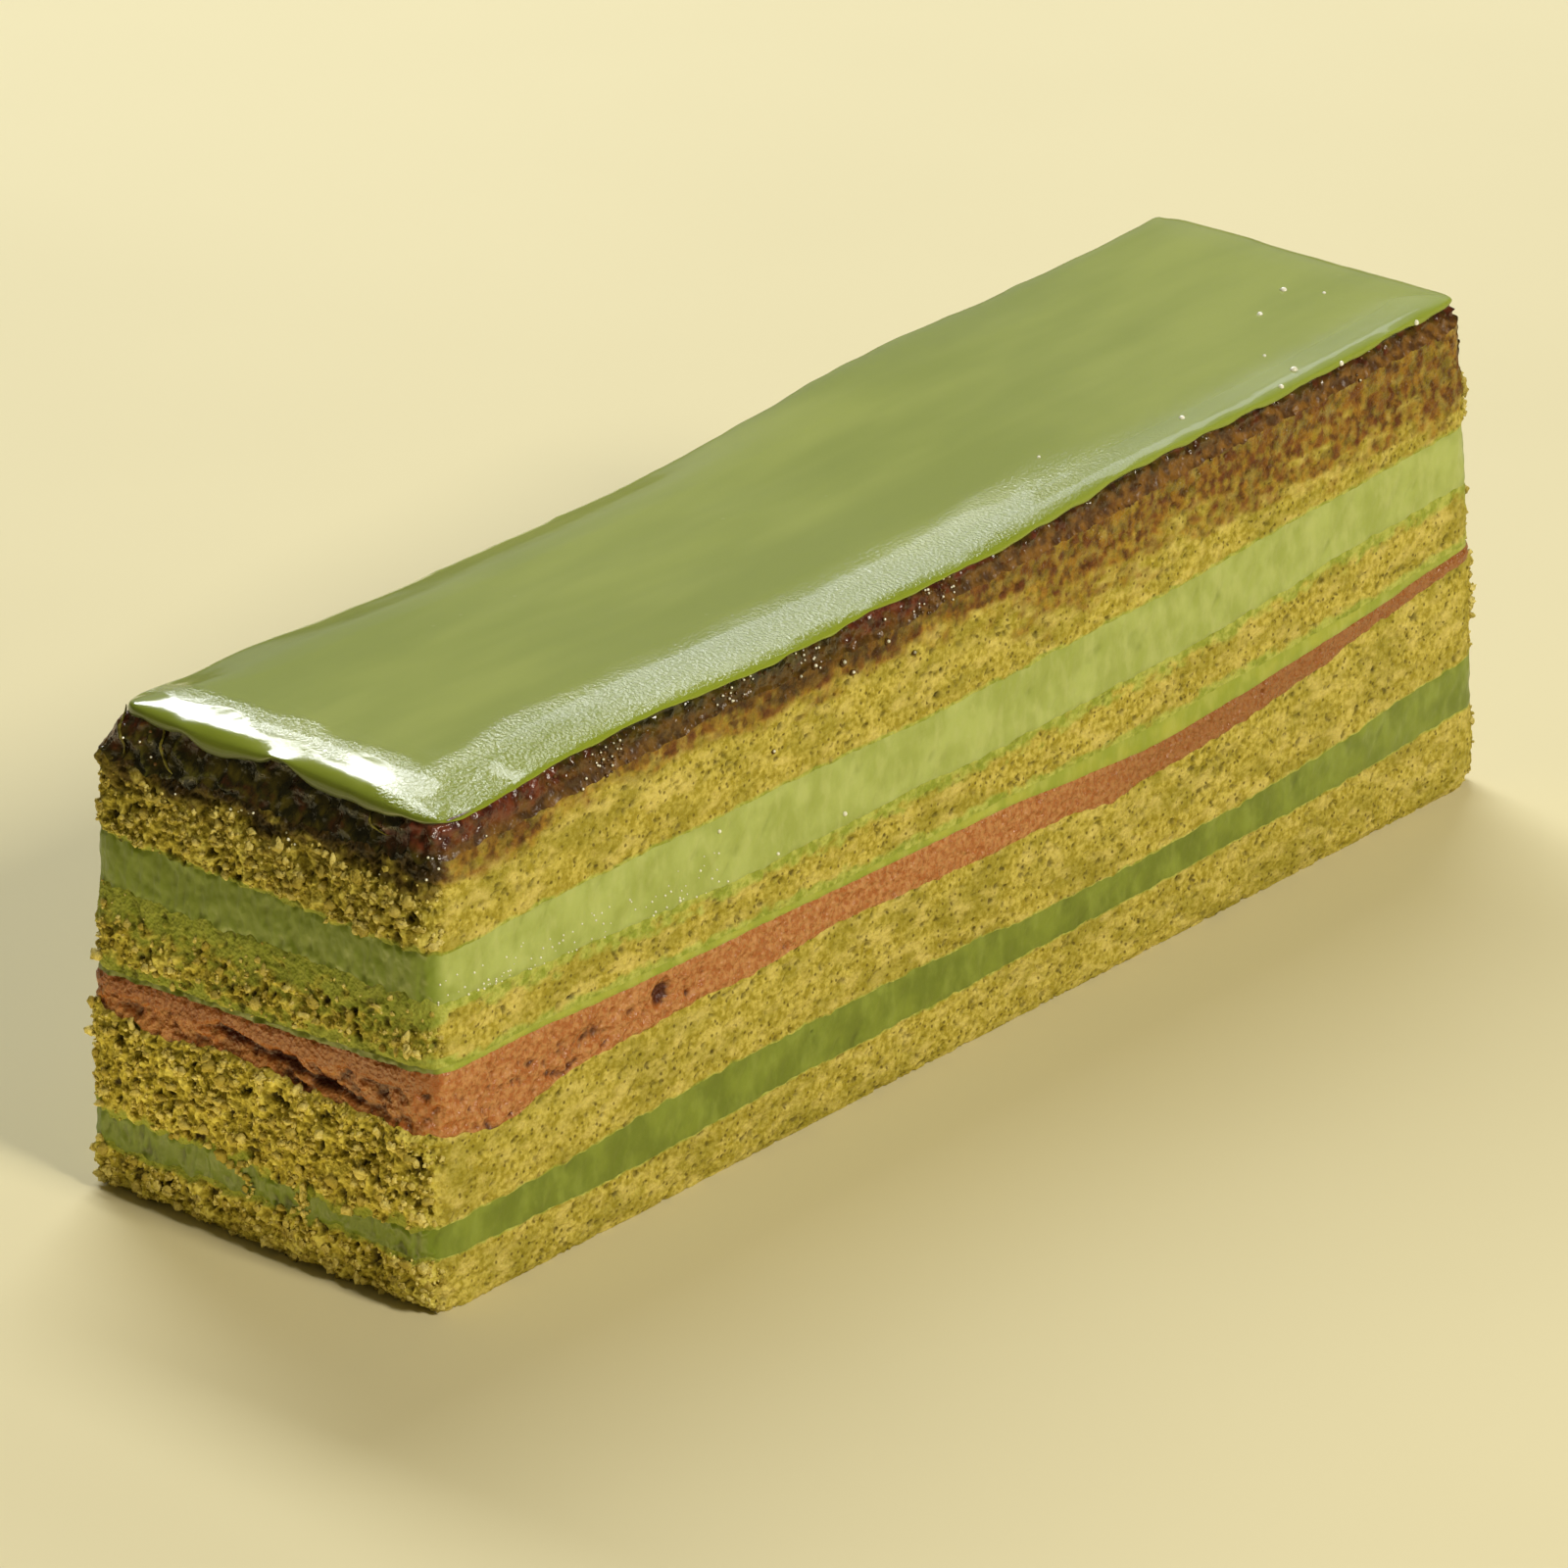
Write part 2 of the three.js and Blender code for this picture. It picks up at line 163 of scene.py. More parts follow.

# Shares of the way round the lip: where its drips fade out, where its front fades from its lower edge,
# painted as shade, and where the edge's colour gives way to the top's, and where the top's waves and
# ripples set in.
DRIPS_FADE = (0.6, 0.15)
SHADE_FADES = (0.34, 0.16)
EDGE_ENDS = (0.32, 0.6)
WAVES_FROM = (0.1, 0.5)
RIPPLES_FROM = (0.3, 0.55)

# Where the lip, further in, turns to the more rounded rim and then lies on the bed: how far out of the rim.
ROUNDER_FROM = (0.2, -2.5)
ON_BED_FROM = (-0.5, -3.0)

# How much higher the glaze's lower edge lies along the bar's far half, where the glaze is thinner.
HIGHER = 0.5

# The glaze's fine ripples, which spread a highlight: between which distances from the right side and
# places along the bar they fade, and where their strip behind the near end begins and ends.
RIPPLES_FROM_SIDE = (9.5, 4.0)
RIPPLES_ALONG = (30, 10)
RIPPLES_BEHIND_END = ((8.2, 6.8), (5.0, 6.2))

# How far the glaze slumps at the near right corner, and how far from the side and the end.
SLUMP = 0.28
SLUMP_FROM_SIDE = (11, 3)
SLUMP_FROM_END = (15, 4)

# The bulge of the near left corner: its middle, how far out, how wide, and the heights it grows between.
BULGE = ((-16.2, -60.8), 1.1, 3.4, (31.0, 39.5))

# Drips of the glaze over the near end: place across, half width and how far each hangs down.
DRIPS = [(-15.2, 2.0, 0.6), (-11.0, 1.7, 0.4), (-5.6, 2.3, 0.85), (-2.2, 1.4, 0.3), (0.4, 1.2, -0.4),
         (4.6, 2.2, 0.75), (7.8, 1.8, 0.5), (10.6, 1.9, 0.55), (14.0, 1.2, 0.2)]

# Shining drops on the right side, and pale beads on its creams, painted highlights of wet glints: place
# along the bar, height and radius.
DROPS = [(-16.4, 36.1, 0.34), (-15.3, 35.0, 0.24), (-11.2, 36.2, 0.28), (-8.1, 34.2, 0.22),
         (-24.5, 31.8, 0.2), (-19.6, 37.0, 0.28), (-21.3, 36.6, 0.22), (-29.0, 37.2, 0.2)]
BEADS = [(-31.0, 27.7, 0.16), (-24.5, 23.7, 0.14), (-16.8, 24.2, 0.2), (-35.6, 23.7, 0.13)]

# Glints on the near end's jam and soaked sponge, pale beads that are painted highlights: place across,
# height and radius.
END_GLINTS = [(-11.7, 35.4, 0.1), (-8.3, 33.8, 0.08), (-2.9, 34.3, 0.12), (-2.4, 34.1, 0.08),
              (-2.0, 34.4, 0.11), (-1.4, 34.2, 0.07), (-0.8, 34.5, 0.1), (2.4, 33.9, 0.1),
              (2.8, 33.6, 0.13), (3.4, 33.3, 0.09), (-4.9, 33.2, 0.07), (1.0, 32.4, 0.07),
              (7.4, 33.0, 0.08), (11.6, 33.4, 0.07), (15.6, 35.6, 0.1), (16.2, 34.8, 0.12),
              (15.9, 34.2, 0.1)]

# Fine pale beads on the upper cream, painted highlights of wet glints: how many, and between which places
# along the bar, heights and radii.
FINE_BEADS = 90
BEADS_ALONG = (-62.0, -30.0)
BEADS_UP = (23.2, 26.4)
FINE_BEAD_RADII = (0.05, 0.1)

# Bubbles in the glaze, each drawn as a pale bead that paints its glint as a highlight: place across, place
# along the bar and radius.
BUBBLES = [(13.0, 28.3, 0.26), (14.0, 41.4, 0.34), (15.0, 38.4, 0.24), (3.4, 53.7, 0.3),
           (5.0, 48.6, 0.24), (10.2, 42.2, 0.16), (6.2, 55.3, 0.16), (16.3, 45.6, 0.22),
           (15.8, 56.2, 0.24), (9.0, 15.8, 0.15)]

# Strings of jam on the near end, each a list of places across and heights.
STRINGS = [[(-15.3, 38.2), (-15.0, 37.2), (-14.2, 36.3), (-14.0, 35.2)],
           [(-11.6, 38.3), (-10.9, 37.4), (-10.8, 36.3), (-10.1, 35.4), (-9.2, 35.0)],
           [(9.6, 37.2), (10.4, 36.4), (11.8, 36.1)]]

# Loose crumbs on the torn ends: how many, how finely rounded, and between which radii.
CRUMBS = {"crumbs": (1400, 2, (0.16, 0.4)), "fine_crumbs": (3600, 1, (0.09, 0.19))}

# How far a drop's middle stands out of the face, in radii, and the way from it to its painted highlight, a
# pale bead.
PROUD = 0.25
SUNNY_SIDE = (0.68, -0.36, 0.5)

# Small drops on the jam: how many, and between which radii.
SMALL_DROPS = 180
SMALL_DROP_RADII = (0.07, 0.17)

# The camera: the point it looks at, its distance from that point, the direction it looks from in degrees,
# its lens and sensor, and in metres what is too near or too far for it.
AIM = (-5.324, 2.623, 13.570)
DISTANCE = 761.0
AZIMUTH = 40.10
ELEVATION = 24.07
ROLL = 0.22
LENS = 225.0
SENSOR = 36.0
CLIPS = (0.01, 20.0)

# Lights: where each stands and what point it faces, its width and height in metres, how far it is
# rolled in degrees, watts and colour. The card lies in front of the near end and faces up.
MIDDLE = (0, 0, 0)
LIGHTS = {
    "sun": ((0.718, -0.07, 0.538), MIDDLE, (0.18, 0.18), 0, 6.2, "fff6e4"),
    "strip": ((-0.470, 0.300, 0.573), MIDDLE, (0.75, 0.16), -49, 5.2, "fcfdff"),
    "sky": ((-0.647, 0.770, 0.448), MIDDLE, (1.2, 0.7), 0, 0.9, "f4f6fa"),
    "back": ((-0.364, 0.608, 0.563), MIDDLE, (0.16, 0.18), 0, 0.42, "e8ecff"),
    "card": ((0, -0.082, 0.0006), (0, -0.082, 1), (0.05, 0.024), 0, 0.0078, "ffe8a0"),
}
WORLD_COLOUR = "f4e6a8"
WORLD_STRENGTH = 0.13

# === Noise, all of it seeded

CUBE = np.array([[i, j, k] for i in (0, 1) for j in (0, 1) for k in (0, 1)])
AROUND = np.array([[i, j, k] for i in (-1, 0, 1) for j in (-1, 0, 1) for k in (-1, 0, 1)])

# Whole numbers that stir the cells and the seed together, then the shifts and factors of each round.
STIR_AXES = (374761393, 668265263, 2147483647)
STIR_SEED = (2654435761, 974711)
STIR_ALL = 2246822519
STIR_ROUNDS = ((15, 3266489917), (13, 668265263), (16, 1))

# What brings gradient noise to about -1 to 1, and the square of how far a lump reaches, in lumps.
FULL_SWING = 1.7
LUMP_REACH = 0.7


def hashed(cell, seed):
    """Numbers from 0 to 1 that depend only on whole-number cells and a seed."""
    c = np.asarray(cell).astype(np.int64).astype(np.uint32)
    h = np.uint32((seed * STIR_SEED[0] + STIR_SEED[1]) % 2**32)
    for k, factor in enumerate(STIR_AXES):
        h = h ^ c[..., k] * np.uint32(factor)
    h = h * np.uint32(STIR_ALL)
    for shift, factor in STIR_ROUNDS:
        h = (h ^ (h >> np.uint32(shift))) * np.uint32(factor)
    return h / 2.0**32


def noise(p, size, seed):
    """Gradient noise, about -1 to 1, with bumps `size` across. A size may differ along X, Y and Z."""
    q = p / size
    base = np.floor(q)
    f = q - base
    blend = f * f * f * (f * (f * 6 - 15) + 10)
    total = np.zeros(p.shape[:-1])
    for corner in CUBE:
        cell = base + corner
        away = f - corner
        dot = sum((2 * hashed(cell, 3 * seed + k) - 1) * away[..., k] for k in range(3))
        total += dot * np.prod(np.where(corner, blend, 1 - blend), axis=-1)
    return FULL_SWING * total


def layered_noise(p, size, seed, octaves=3):
    """Noise with finer and weaker noise on it."""
    size = np.asarray(size, dtype=float)
    return sum(noise(p, size / 2**k, seed + 17 * k) / 2**k for k in range(octaves))


def warped(p, size, by, seed):
    """The points, each moved by noise, so that what is worked out from them looks less even."""
    return p + by * np.stack([noise(p, size, seed + k) for k in range(3)], axis=-1)


def cells_around(p, size, seed):
    """The cells round each point, `size` wide, which each hold one spot: the cell, a way to draw more
    numbers for it, and the square of the distance to its spot, in cells."""
    q = p / size
    base = np.floor(q)
    for offset in AROUND:
        cell = base + offset
        square = sum((cell[..., k] + hashed(cell, 5 * seed + k) - q[..., k]) ** 2 for k in range(3))
        yield square, lambda k, cell=cell: hashed(cell, 5 * seed + k)


def lumps(p, size, seed):
    """Round lumps packed side by side: 1 on a lump's middle, about 0 in the clefts between lumps."""
    nearest = np.minimum.reduce([square for square, _ in cells_around(p, size, seed)])
    return 1 - nearest / LUMP_REACH


def bubbles(p, size, share, radius, seed):
    """The depth of round hollows, in mm. One cell in `share` of the cells, `size` wide, holds one."""
    deepest = np.zeros(p.shape[:-1])
    for square, draw in cells_around(p, size, seed):
        r = radius[0] + (radius[1] - radius[0]) * draw(3) ** 2
        deepest = np.maximum(deepest, np.sqrt(np.maximum(r * r - square * size**2, 0)) * (draw(4) < share))
    return deepest


def foam(p, size, seed):
    """Cells packed side by side, each `size` wide: how far a point lies from the nearest wall, 0 on it
    and about 1 at most, and a number from 0 to 1 that stands for the cell."""
    nearest = second = np.full(p.shape[:-1], np.inf)
    which = np.zeros(p.shape[:-1])
    for square, draw in cells_around(p, size, seed):
        closer = square < nearest
        second = np.where(closer, nearest, np.minimum(second, square))
        nearest = np.where(closer, square, nearest)
        which = np.where(closer, draw(3), which)
    return np.sqrt(second) - np.sqrt(nearest), which


def smooth(low, high, value):
    """0 below `low`, 1 above `high` and a smooth rise between them."""
    t = np.clip((value - low) / (high - low), 0, 1)
    return t * t * (3 - 2 * t)


def through(values, t):
    """A smooth curve through evenly spaced values, with t from 0 to 1."""
    values = np.asarray(values, dtype=float)
    last = len(values) - 1
    place = np.clip(t, 0, 1) * last
    i = np.minimum(place.astype(int), last - 1)
    f = place - i
    before = values[np.maximum(i - 1, 0)]
    after = values[np.minimum(i + 2, last)]
    slope_in = (values[i + 1] - before) / 2
    slope_out = (after - values[i]) / 2
    rise = values[i + 1] - values[i]
    return values[i] + f * (slope_in + f * (3 * rise - 2 * slope_in - slope_out
                                            + f * (slope_in + slope_out - 2 * rise)))


# === What the frame gives: the rims between the layers and the ridges of their hidden caps

def node_points(name):
    """A node's corners, in mm, each of them once."""
    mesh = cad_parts[name].data
    flat = np.empty(3 * len(mesh.vertices))
    mesh.vertices.foreach_get("co", flat)
    return set(map(tuple, np.round(flat.reshape(-1, 3) / MM, 3)))


def on_ridge(point):
    return abs(point[0]) < NEAR_ENOUGH and abs(point[1]) < RIDGE_SHARE * HALF_LENGTH


def in_order(points):
    """Points of a rim, counter-clockwise from just past the middle of the right side."""
    points = np.array(points)
    just_past = 1.5
    start = math.atan2(just_past / HALF_LENGTH, 1)
    angle = np.arctan2(points[:, 1] / HALF_LENGTH, points[:, 0] / HALF_WIDTH) - start
    return points[np.argsort(np.mod(angle, 2 * math.pi))]


def split(points):
    """A rim's points in order, and the points of the cap's ridge from the near end to the far one."""
    rim = in_order([p for p in points if not on_ridge(p)])
    ridge = np.array(sorted((p for p in points if on_ridge(p)), key=lambda p: p[1]))
    return rim, ridge


def read_rims():
    """The rims from the base to the jam's top, each with its ridge, and the rows of the rounded foot."""
    corners = {name: node_points(name) for name in LAYERS}
    base = corners["sponge_base"]
    borders = [split([p for p in base if p[2] < NEAR_ENOUGH])]
    for lower, upper in zip(LAYERS, LAYERS[1:]):
        borders.append(split(corners[lower] & corners[upper]))
    foot = [in_order([p for p in base if abs(p[2] - height) < NEAR_ENOUGH]) for height in FOOT_HEIGHTS]
    top = sorted((p for p in corners["glaze"] if on_ridge(p)), key=lambda p: (p[1], p[2]))
    thickness = np.mean([upper[2] - lower[2] for lower, upper in zip(top[::2], top[1::2])])
    return borders, foot, thickness


BORDERS, FOOT, GLAZE_THICKNESS = read_rims()


# === Dense rims: first with even stations, on which they are rounded, then with denser stations where
# the face is seen from near

def even_stations(rim):
    """Places evenly spaced round a rim, as fractions of its point numbers."""
    gaps = np.linalg.norm(np.roll(rim, -1, axis=0) - rim, axis=1)
    length = np.concatenate([[0], np.cumsum(gaps)])
    count = round(length[-1] / NEAR_STEP)
    return np.interp(np.arange(count) * length[-1] / count, length, np.arange(len(rim) + 1))


def blurred(values, width):
    """Values at even stations round the outline, evened out over about `width` mm."""
    reach = np.arange(-int(3 * width / NEAR_STEP), int(3 * width / NEAR_STEP) + 1)
    weight = np.exp(-0.5 * (reach * NEAR_STEP / width) ** 2)
    weight /= weight.sum()
    return sum(w * np.roll(values, -k, axis=0) for w, k in zip(weight, reach))


def sampled(values, places):
    """Values of a closed row at fractions of its point numbers."""
    closed = np.concatenate([values, values[:1]])
    numbers = np.arange(len(closed))
    return np.stack([np.interp(places, numbers, column) for column in closed.T], axis=1)


EVEN = even_stations(BORDERS[4][0])


def rounded(rim, softness):
    """A rim with evenly spaced points, its corners and waves rounded."""
    points = sampled(rim, EVEN)
    points[:, :2] = blurred(points[:, :2], softness)
    points[:, 2] = blurred(points[:, 2], WAVE_SOFTNESS)
    return points


def outward(rim, softness=OUTLINE_SOFTNESS):
    """The outline's directions, straight out of the faces, at even stations."""
    even = rounded(rim, softness)
    along = np.roll(even, -1, axis=0) - np.roll(even, 1, axis=0)
    out = np.stack([along[:, 1], -along[:, 0]], axis=1)
    return blurred(out / np.linalg.norm(out, axis=1, keepdims=True), softness)


def graded_stations(out):
    """Places on an evenly spaced rim: dense on the near end, less so on the other faces."""
    on_near = smooth(0.3, 0.7, -out[:, 1])
    on_right = smooth(0.3, 0.7, out[:, 0]) * (1 - on_near)
    spacing = HIDDEN_STEP + (NEAR_STEP - HIDDEN_STEP) * on_near + (RIGHT_STEP - HIDDEN_STEP) * on_right
    amount = np.concatenate([[0], np.cumsum(NEAR_STEP / spacing)])
    count = 2 * round(amount[-1] / 2)
    return np.interp(np.arange(count) * amount[-1] / count, amount, np.arange(len(amount)))


GRADED = graded_stations(outward(BORDERS[4][0]))


def fine(rim, softness=OUTLINE_SOFTNESS):
    """A rim with all its points, corners and waves rounded."""
    return sampled(rounded(rim, softness), GRADED)


RIMS = [fine(rim) for rim, _ in BORDERS]
RIDGES = [ridge for _, ridge in BORDERS]
FOOT_ROWS = [fine(rim) for rim in FOOT]
OUTWARD = sampled(outward(BORDERS[4][0]), GRADED)
ON_END = smooth(*TURN, np.abs(OUTWARD[:, 1]))
ON_RIGHT = smooth(*TURN, OUTWARD[:, 0])
NEAR = OUTWARD[:, 1] < 0
SPACING = np.linalg.norm(np.roll(RIMS[4], -1, axis=0) - RIMS[4], axis=1)


# === Meshes

def cap_faces(rim, ridge, rim_start, ridge_start):
    """Triangles between a rim and its ridge, seen from above."""
    reach = ridge[-1][1]
    nearest = np.rint(np.clip((rim[:, 1] + reach) / (2 * reach), 0, 1) * (len(ridge) - 1)).astype(int)
    count = len(rim)
    faces = []
    for i in range(count):
        j = (i + 1) % count
        faces.append((rim_start + i, rim_start + j, ridge_start + nearest[i]))
        if nearest[i] != nearest[j]:
            faces.append((rim_start + j, ridge_start + nearest[j], ridge_start + nearest[i]))
    return faces


def wall_faces(rows, count):
    """Quads between rows of points, which all have the same count."""
    i = np.arange(count)
    j = (i + 1) % count
    quads = [np.stack([r * count + i, r * count + j, (r + 1) * count + j, (r + 1) * count + i], axis=1)
             for r in range(rows - 1)]
    return np.concatenate(quads).tolist()


def to_object(name, points, faces, material, values=None, flat=0, sharp=()):
    """A mesh object from points in mm, with named values on its points. The first `flat` faces are flat,
    and the edges within each range of points in `sharp` are sharp."""
    mesh = bpy.data.meshes.new(name)
    mesh.from_pydata((points * MM).tolist(), [], faces)
    smooth_faces = np.ones(len(faces), dtype=bool)
    smooth_faces[:flat] = False
    mesh.polygons.foreach_set("use_smooth", smooth_faces)
    if sharp:
        ends = np.empty(2 * len(mesh.edges), dtype=np.int32)
        mesh.edges.foreach_get("vertices", ends)
        low, high = np.sort(ends.reshape(-1, 2), axis=1).T
        creased = np.any([(low >= start) & (high < stop) for start, stop in sharp], axis=0)
        mesh.attributes.new("sharp_edge", "BOOLEAN", "EDGE").data.foreach_set("value", creased)
    for key, value in (values or {}).items():
        attribute = mesh.attributes.new(key, "FLOAT", "POINT")
        filled = np.zeros(len(points))
        filled[: value.size] = value.ravel()
        attribute.data.foreach_set("value", filled)
    mesh.materials.append(material)
    thing = bpy.data.objects.new(name, mesh)
    bpy.context.collection.objects.link(thing)
    return thing


def layer_object(name, rows, ridges, faces, material, values, flat, sharp):
    """An object that stands for one of the solids. A value may be given for a whole column at once."""
    points = np.concatenate([rows.reshape(-1, 3), *ridges])
    values = {key: np.broadcast_to(value, rows.shape[:-1]) for key, value in values.items()}
    thing = to_object(name, np.clip(points, LOW, HIGH), faces, material, values, flat, sharp)
    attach(thing, "root")
    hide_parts(name)


def loose_object(name, shapes, faces, material, values=None):
    """One object of many small shapes, which all have the same faces."""
    count = shapes.shape[1]
    many = (faces[None] + count * np.arange(len(shapes))[:, None, None]).reshape(-1, faces.shape[1])
    points = np.clip(shapes.reshape(-1, 3), LOW, HIGH)
    spread = {key: np.repeat(value, count) for key, value in (values or {}).items()}
    thing = to_object(name, points, many.tolist(), material, spread)
    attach(thing, "root")


# === The layers' faces before relief

def far_half(p):
    """0 on the bar's near half, 1 far along."""
    return smooth(*FAR_HALF, p[..., 1])


def near_left(p):
    """1 at the near left corner, which is rounded most, 0 away from it."""
    return smooth(*CORNER_REACH, np.hypot(p[:, 0] + HALF_WIDTH, p[:, 1] + HALF_LENGTH))


def wandering(order):
    """A rim that wanders up and down as a real border between two layers does."""
    rim = RIMS[order].copy()
    if order == 9:
        rim += (fine(BORDERS[9][0], WIDEST_SOFTNESS) - rim) * near_left(rim)[:, None]
        rim[:, 2] += HIGHER * far_half(rim)
    if order in WANDER:
        on_sides, on_ends = WANDER[order]
        drift = layered_noise(rim * [1, 1, 0], 1.6, seed=40 + order)
        rim[:, 2] += drift * (on_sides + (on_ends - on_sides) * ON_END)
    return rim


def border_relief(order):
    """The relief that the layers below and above a border share there."""
    on_sides, more_on_ends = BORDER_ROUGHNESS
    rough = on_sides + more_on_ends * ON_END
    return rough * layered_noise(RIMS[order], 0.9, 500 + order) - BORDER_SUNK


BORDER_RIMS = [wandering(order) for order in range(len(RIMS))]
BORDER_OUT = [border_relief(order) for order in range(len(RIMS))]


def between(low, high, step):
    """Rows of points from one rim to another."""
    height = np.mean(np.abs(high[:, 2] - low[:, 2]))
    rows = max(2, math.ceil(height / step))
    share = np.linspace(0, 1, rows + 1)[:, None, None]
    return low + (high - low) * share


def rows_of(order, step=ROW_STEP):
    """A layer's rows of points. The base sponge's start with its rounded foot."""
    if order > 0:
        return between(BORDER_RIMS[order], BORDER_RIMS[order + 1], step)
    levels = [RIMS[0], *FOOT_ROWS]
    foot = [between(low, high, step)[:-1] for low, high in zip(levels, levels[1:])]
    return np.concatenate([*foot, between(FOOT_ROWS[-1], BORDER_RIMS[1], step)])


def height_share(rows):
    """0 on a layer's lowest row and 1 on its highest."""
    return np.linspace(0, 1, len(rows))[:, None]


def settled(order, rows, out):
    """Relief that fades over to its borders' relief, so that neighbouring layers meet without a gap."""
    for border in (order, order + 1):
        if border > 0:
            away = np.abs(rows[..., 2] - BORDER_RIMS[border][:, 2])
            out = BORDER_OUT[border] + (out - BORDER_OUT[border]) * smooth(0, SEAM, away)
    return out


def bulge(rows):
    """How far the near left corner bulges out."""
    corner, amount, width, heights = BULGE
    away = np.hypot(rows[..., 0] - corner[0], rows[..., 1] - corner[1]) / width
    return amount * np.exp(-(away**2)) * smooth(*heights, rows[..., 2])


def make_layer(order, rows, out, material, values):
    """One layer: caps on the first and last row, and the wall with its relief between them."""
    surface = rows.copy()
    surface[..., :2] += OUTWARD * (settled(order, rows, out) + bulge(rows))[..., None]
    count = rows.shape[1]
    low_start = surface.shape[0] * count
    high_start = low_start + len(RIDGES[order])
    under = [face[::-1] for face in cap_faces(surface[0], RIDGES[order], 0, low_start)]
    over = cap_faces(surface[-1], RIDGES[order + 1], (surface.shape[0] - 1) * count, high_start)
    faces = under + over + wall_faces(surface.shape[0], count)
    layer_object(LAYERS[order], surface, RIDGES[order:order + 2], faces, material, values,
                 flat=len(under) + len(over), sharp=[(0, count), (low_start - count, low_start)])
    return surface


# === Sponge

def weighed(weights, parts):
    """The sum of the parts that are given a weight."""
    return sum(weight * parts[name] for name, weight in weights.items())


def torn_crumb(p, seed):
    """Relief of torn sponge: heaped crumbs with open cells between them. Also how hollow a point lies."""
    q = warped(warped(p, 1.8, 0.5, seed), 0.6, 0.28, seed + 10)
    inside, which = foam(q, 1.0, seed + 1)
    opened = smooth(0.05, 0.45, inside) * smooth(0.5, 0.9, which + 0.4 * noise(p, 3.0, seed + 2))
    small_inside, small_which = foam(q, 0.55, seed + 3)
    parts = {"cell": opened, "pore": smooth(0.1, 0.4, small_inside) * smooth(0.45, 0.8, small_which),
             "heap": layered_noise(p, 2.2, seed + 4) + 0.6 * noise(p, 4.6, seed + 7),
             "grain": noise(p, 0.45, seed + 5), "cleft": 0.5 - lumps(q, 0.9, seed + 6)}
    return weighed(TORN_RELIEF, parts) + TORN_RAISED, np.clip(weighed(TORN_HOLLOW, parts), -1, 1)


def cut_crumb(p, seed):
    """Relief of knife-cut sponge: a dense face with fine pores. Also how hollow a point lies."""
    q = warped(p, 1.4, 0.3, seed + 11)
    inside, which = foam(q * [0.8, 0.8, 1.15], 0.62, seed + 12)
    pored = smooth(0.05, 0.4, inside) * smooth(0.3, 0.95, which + 0.2 * noise(p, 4.0, seed + 13))
    parts = {"pore": pored, "hole": bubbles(q * [0.7, 0.7, 1.3], 2.4, 0.3, (0.15, 0.38), seed + 14),
             "grain": noise(p, 0.45, seed + 15), "heap": layered_noise(p, 2.0, seed + 16)}
    return weighed(CUT_RELIEF, parts), np.clip(weighed(CUT_HOLLOW, parts), -1, 1)


def smear_of(order, rows):
    """How thickly a sponge's face is smeared with the cream next to it."""
    smear = np.zeros(rows.shape[:-1])
    patches = layered_noise(rows, [1.6, 1.6, 0.9], 80 + order)
    for edge, reach in zip((rows[-1], rows[0]), SMEARS[order]):
        if reach:
            away = np.abs(edge[:, 2] - rows[..., 2])
            far = reach[0] + (reach[1] - reach[0]) * ON_END
            smear = np.maximum(smear, smooth(0.5, -0.5, (away - far) / far + 0.9 * patches))
    return smear


def station(p):
    """0 at the near end, 1 at the far end."""
    return np.clip(p[..., 1] / (2 * HALF_LENGTH) + 0.5, 0, 1)


def along_sides(shares, rows):
    """A value listed at even stations along the long sides, 0 on the ends."""
    return (1 - ON_END) * through(shares, station(rows))


def soak_of(rows):
    """How much dark syrup has soaked into each point, from 1 at the glaze's lip to 0 below its reach."""
    depth = through(SOAK_DEPTH, station(rows)) * (1 + np.where(NEAR, DEEPER_NEAR, -DEEPER_NEAR) * ON_END)
    patches = (0.22 + 0.12 * station(rows)) * layered_noise(rows, [3.6, 3.6, 1.5], 71)
    return np.clip(1 - (RIMS[9][:, 2] - rows[..., 2]) / depth + patches, 0, 1)


def make_sponge(order, material, slot="sponge"):
    """One sheet of sponge. Gives its surface and how well crumbs would cling to each point."""
    rows = rows_of(order)
    torn, torn_hollow = torn_crumb(rows, 100 + 20 * order)
    cut, cut_hollow = cut_crumb(rows, 100 + 20 * order)
    past_end = rows[..., 1] - LOW[1] + 2.0 * noise(rows, [3, 3, 2], 90 + order)
    tear = np.maximum(ON_END, TORN_ALONG * smooth(*TORN_REACH, past_end))
    out = tear * torn + (1 - tear) * cut
    hollow = tear * torn_hollow + (1 - tear) * cut_hollow
    smear = smear_of(order, rows)
    out = out * (1 - SMEAR_FILLS * smear)
    hollow = hollow * (1 - SMEAR_CLOSES * smear)
    # hollow lets the finish paint the sponge's hollows darker, as painted shade.
    values = {"hollow": hollow, "smear": smear, "torn": ON_END}
    if slot == "sponge_soaked":
        soak = soak_of(rows)
        values["soak"] = soak
        values["syrup"] = smooth(0.25, 0.6, soak) * (1.25 - along_sides(CRUST_SHARE, rows))
        values["hollow"] = hollow * (1 - 0.5 * soak)
    surface = make_layer(order, rows, np.minimum(out, PROUDEST), material, values)
    dry = 1 - smooth(0.1, 0.4, values.get("soak", 0))
    return surface, (hollow < TOO_HOLLOW) * (1 - SMEAR_STOPS * smear) * dry


# === Creams, the red layer and the jam

